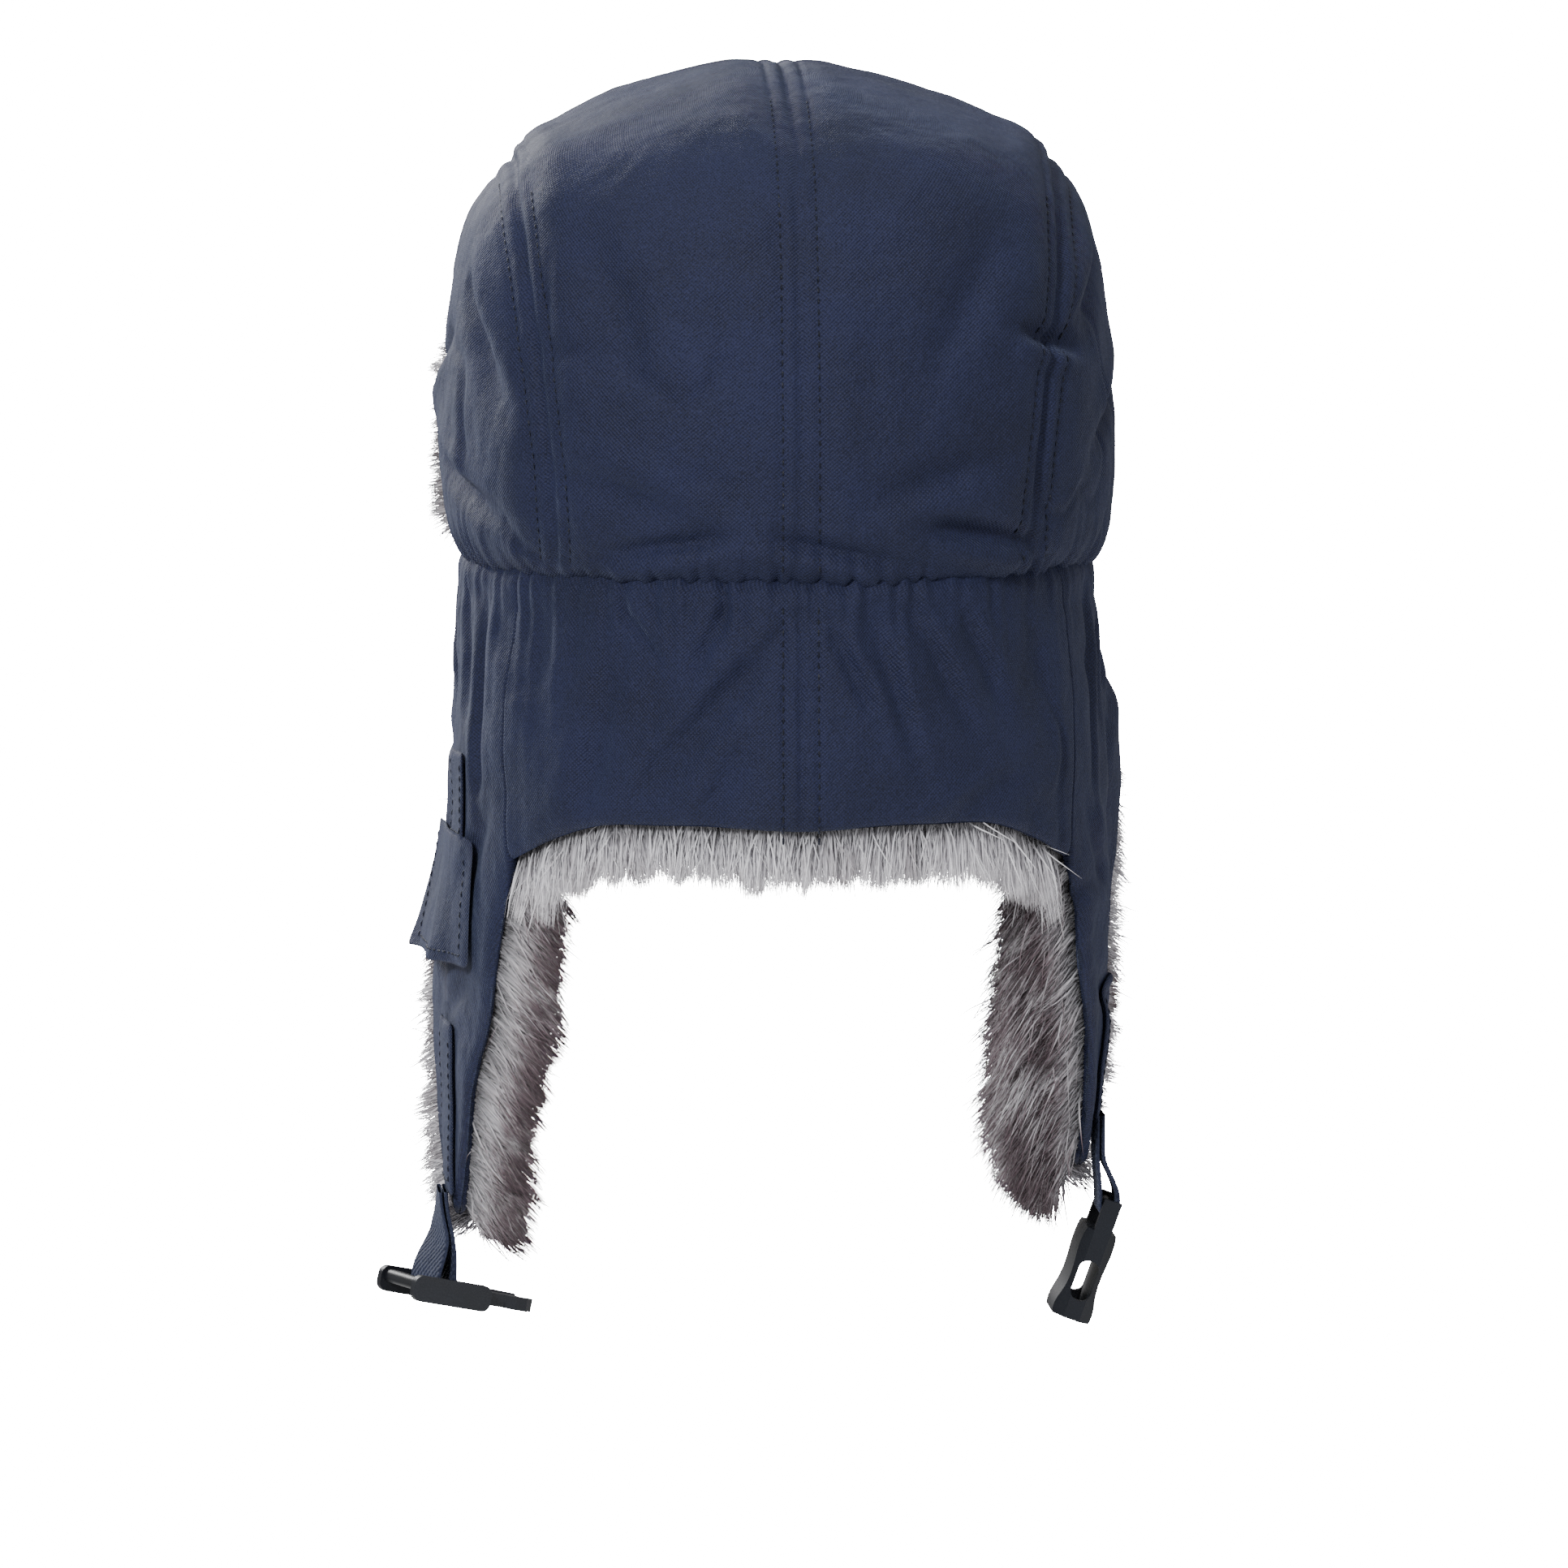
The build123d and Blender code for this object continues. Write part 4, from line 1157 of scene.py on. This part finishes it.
thin_box_patch(
    "DomeLoopPatch", crown_front, (-28.0, 28.0), (0.62 * FRONT_H, 0.88 * FRONT_H), 1.0, patch_cloth,
    "crown", "crown_loop_patch",
)
thin_box_patch(
    "FrontHookPatch", front_inside, (-26.0, 26.0), (0.64 * FRONT_H, 0.86 * FRONT_H), 0.9, patch_cloth,
    "front_flap", "front_hook_patch",
)
thin_box_patch(
    "BlankLabel", lining_back, (-16.0, 16.0), (42.0, 62.0), 0.7, label_cloth,
    "crown", "blank_label",
)


# ---- straps ----
def web_loop(name, x, top_x, bar_z, top_z, yaw, body, nodes):
    """Doubled webbing from a casing round a ladder bar: one run of tape with rolled edges.

    The two runs lie together where they leave the casing and open round the bar.
    """
    loop_r = 2.6
    height = np.linspace(top_z, bar_z, 40)
    closed = smooth(height, bar_z + 2.5, bar_z + 0.60 * (top_z - bar_z))
    centre = x + (top_x - x) * closed
    gap = loop_r + (0.80 - loop_r) * closed
    outer_leg = stack(centre + gap, 0.0 * height, height)
    inner_leg = stack(centre - gap, 0.0 * height, height)[::-1]
    angle = np.linspace(0.0, -math.pi, 20)[1:-1]
    turn_part = stack(x + loop_r * np.cos(angle), 0.0 * angle, bar_z + loop_r * np.sin(angle))
    path = np.concatenate([outer_leg, turn_part, inner_leg])
    tangent = unit(np.gradient(path, axis=0))
    normal = unit(np.cross(tangent, np.array([0.0, 1.0, 0.0])))
    half_t = 0.62
    half_w = 9.9
    sides = 36
    section = []
    for k in range(sides):
        a = 2.0 * math.pi * k / sides
        flat = math.copysign(abs(math.cos(a)) ** 0.22, math.cos(a))
        tall = math.copysign(abs(math.sin(a)) ** 0.7, math.sin(a))
        section.append((half_w * flat, half_t * tall))
    section = np.array(section)
    across = section[None, :, 0:1] * np.array([0.0, 1.0, 0.0])
    deep = section[None, :, 1:2] * normal[:, None, :]
    p = path[:, None, :] + across + deep
    run = np.cumsum(np.linalg.norm(np.diff(path, axis=0, prepend=path[:1]), axis=1))
    uv = stack(p[..., 1], np.broadcast_to(run[:, None], p.shape[:2]))
    off_x = p[..., 0] - x
    twist = yaw * (1.0 - smooth(p[..., 2], bar_z + 6.0, top_z))
    turned_x = x + off_x * np.cos(twist) - p[..., 1] * np.sin(twist)
    turned_y = STRAP_Y + off_x * np.sin(twist) + p[..., 1] * np.cos(twist)
    p = stack(turned_x, turned_y, p[..., 2])
    tape = new_object(name, p, grid_faces(len(path), sides, True), uv)
    settle(tape, webbing, body, nodes)


left_x = 1.030 * CROWN_W
left_low = -0.962 * EAR_LEN
web_loop(
    "LeftStrap", left_x, 97.9, left_low - 28.5, left_low + 0.8, LEFT_YAW, "left_strap",
    ["left_strap_outer", "left_strap_inner"],
)
right_x = -0.985 * CROWN_W
right_low = -0.915 * RIGHT_EAR_LEN
web_loop(
    "RightStrap", right_x, -93.4, right_low - 26.5, right_low + 0.8, 0.0, "right_strap",
    ["right_strap_outer", "right_strap_inner"],
)
for node in ("male_frame", "latch_back", "latch_front", "female_body"):
    give(bpy.data.objects[node], plastic)


# ---- stitches ----
STITCH_LENGTH = 2.1
STITCH_LIFT = 0.14
STITCH_SIDES = 6


def stitch_run(name, line, away, body, pitch=3.1, radius=0.33):
    """Separate thread stitches along a line of points, each a tapered capsule sunk a little."""
    gaps = np.linalg.norm(np.diff(line, axis=0), axis=1)
    run = np.concatenate([[0.0], np.cumsum(gaps)])
    count = int(run[-1] / pitch)
    start = (np.arange(count) + 0.5) * pitch
    rings = np.array([-0.5, -0.38, 0.0, 0.38, 0.5])
    fat = np.array([0.25, 0.85, 1.0, 0.85, 0.25])
    sides = STITCH_SIDES
    verts = np.zeros((count, len(rings), sides, 3))

    def read(places, values):
        return np.stack([np.interp(places, run, values[:, k]) for k in range(3)], axis=-1)

    middle_at = read(start, line)
    up = unit(read(start, away))
    tangent = unit(read(start + 0.4, line) - read(start - 0.4, line))
    side_way = unit(np.cross(up, tangent))
    for r, (place, size) in enumerate(zip(rings, fat)):
        sink = -0.55 * radius * (2.0 * abs(place)) ** 2 * 2.0
        for q_side in range(sides):
            a = 2.0 * math.pi * q_side / sides
            ring = math.cos(a) * side_way * radius * size + math.sin(a) * up * radius * size
            spot = middle_at + tangent * place * STITCH_LENGTH
            verts[:, r, q_side] = spot + up * (STITCH_LIFT + sink) + ring
    faces = grid_faces(len(rings), sides, True)
    offset = (np.arange(count) * len(rings) * sides)[:, None, None]
    faces = (faces[None] + offset).reshape(-1, 4)
    verts = verts.reshape(-1, 3)
    piece = new_object(name, verts, faces, verts[:, :2])
    # The stitch colour holds painted shade: the thread is darkened to stand in for the shadow of the needle
    # holes.
    settle(piece, thread_with_painted_shade, body)


def crown_line(x_of_z, back, low=2.0, high=134.0):
    """A run up the back or front of the crown at a given x for each height, on the real cloth."""
    z = np.linspace(low, high, 400)
    x = x_of_z(z)
    reach, half_w, half_d = depth_at(CROWN_ROWS, x, z)
    y = back * reach
    p = stack(x, y, z)
    flat = stack(x / half_w ** 2, y / half_d ** 2, 0.0 * z)
    slope = np.gradient(reach, z)
    up = unit(unit(flat) + stack(0.0 * z, 0.0 * z, np.clip(-slope, 0.0, 6.0)))
    return p + up * crown_relief(p)[:, None], up


for side in (-1.0, 1.0):
    tag = "L" if side > 0 else "R"
    for back, word in ((1.0, "Back"), (-1.0, "Front")):
        line, up = crown_line(lambda z: side * 5.2 + 0.0 * z, back)
        stitch_run("StitchCentre" + word + tag, line, up, "crown")
        for off in (-4.0, 4.0):
            line, up = crown_line(lambda z: side * (seam_x(z) + off), back, 3.0, 108.0)
            row = "In" if off < 0 else "Out"
            stitch_run("StitchSide" + word + row + tag, line, up, "crown")
    drop = np.linspace(7.0, 77.0, 240)
    turn = np.full(drop.shape, 0.5 * math.pi) - side * 5.0 / 111.0
    under = skirt_place(turn, drop)
    away = outward(under)
    line = under + away * skirt_relief(under)[:, None]
    stitch_run("StitchNeck" + tag, line, away, "neck_flap")


def frame_line(outer, inset_rows, inset_cols):
    """A run round a patch a few grid steps inside its edge, with its outward direction."""
    r0, r1 = inset_rows, outer.shape[0] - 1 - inset_rows
    c0, c1 = inset_cols, outer.shape[1] - 1 - inset_cols
    left = outer[r0:r1, c0]
    low = outer[r1, c0:c1]
    right = outer[r1:r0:-1, c1]
    line = np.concatenate([left, low, right])
    return line, outward(line)


for name, outer, body in (
    ("StitchCover", cover_outer, "vent_cover"),
    ("StitchTab", tab_outer, "left_ear_flap"),
    ("StitchLeftCasing", left_case_outer, "left_ear_flap"),
    ("StitchRightCasing", right_case_outer, "right_ear_flap"),
):
    line, away = frame_line(outer, 5, 4)
    stitch_run(name, line, away, body, pitch=3.0, radius=0.30)


# ---- stage ----
floor_z = cad_low[2] - 0.30
bpy.ops.mesh.primitive_plane_add(size=2.2, location=(0, 0, floor_z))
floor = bpy.context.object
floor.name = "Floor"
floor_mat, floor_tree, floor_shader = shader_tree("PaleFloor")
set_inputs(floor_shader, {
    "Base Color": (0.90, 0.90, 0.90, 1.0),
    "Roughness": 0.9,
    "Emission Color": (1.0, 1.0, 1.0, 1.0),
    "Emission Strength": 0.35,
})
floor_place = object_place(floor_tree)
floor_reach = add_node(floor_tree, "ShaderNodeVectorMath", operation="LENGTH")
floor_tree.links.new(floor_place, floor_reach.inputs[0])
floor_fade = ramp(floor_tree, floor_reach.outputs["Value"], [
    (0.35, (1.0, 1.0, 1.0)),
    (0.98, (0.0, 0.0, 0.0)),
])
floor_tree.links.new(floor_fade, floor_shader.inputs["Alpha"])
give(floor, floor_mat)

world = bpy.data.worlds.new("Studio")
bpy.context.scene.world = world
world.use_nodes = True
sky_tree = world.node_tree
ambient = sky_tree.nodes["Background"]
set_inputs(ambient, {"Color": (1.0, 1.0, 1.0, 1.0), "Strength": 0.33})
backdrop = add_node(sky_tree, "ShaderNodeBackground")
set_inputs(backdrop, {"Color": (1.0, 1.0, 1.0, 1.0), "Strength": 40.0})
ray = add_node(sky_tree, "ShaderNodeLightPath")
choose_sky = add_node(sky_tree, "ShaderNodeMixShader")
sky_tree.links.new(ray.outputs["Is Camera Ray"], choose_sky.inputs["Fac"])
sky_tree.links.new(ambient.outputs["Background"], choose_sky.inputs[1])
sky_tree.links.new(backdrop.outputs["Background"], choose_sky.inputs[2])
sky_tree.links.new(choose_sky.outputs["Shader"], sky_tree.nodes["World Output"].inputs["Surface"])


def direction_euler(way):
    return Vector(way).to_track_quat("-Z", "Y").to_euler()


def area_light(name, place, aim, size, power):
    data = bpy.data.lights.new(name, "AREA")
    data.energy = power
    data.size = size
    lamp = bpy.data.objects.new(name, data)
    bpy.context.scene.collection.objects.link(lamp)
    lamp.location = place
    lamp.rotation_euler = direction_euler(np.array(aim) - np.array(place))


area_light("KeyLeft", (1.05, 1.85, 1.05), (0, 0, -0.04), 0.42, 62.0)
area_light("TopFill", (0.0, 0.2, 1.7), (0, 0, 0), 1.0, 13.0)
area_light("RightFill", (-1.5, 1.2, 0.1), (0, 0, -0.05), 0.9, 12.0)
area_light("FrontKey", (0.9, -1.5, 0.8), (0, 0, -0.04), 0.8, 34.0)

azimuth = math.radians(176.5)
elevation = math.radians(5.5)
distance = 3.5
frame_width = 0.456
look = np.array([-0.002, 0.0, -0.068])
back_way = np.array([
    math.sin(azimuth) * math.cos(elevation),
    -math.cos(azimuth) * math.cos(elevation),
    math.sin(elevation),
])
camera_data = bpy.data.cameras.new("Camera")
camera = bpy.data.objects.new("Camera", camera_data)
bpy.context.scene.collection.objects.link(camera)
camera.location = look + back_way * distance
camera.rotation_euler = direction_euler(-back_way)
sensor_width = 36.0
camera_data.sensor_width = sensor_width
camera_data.lens = sensor_width * distance / frame_width
camera_data.clip_start = 0.1
bpy.context.scene.camera = camera
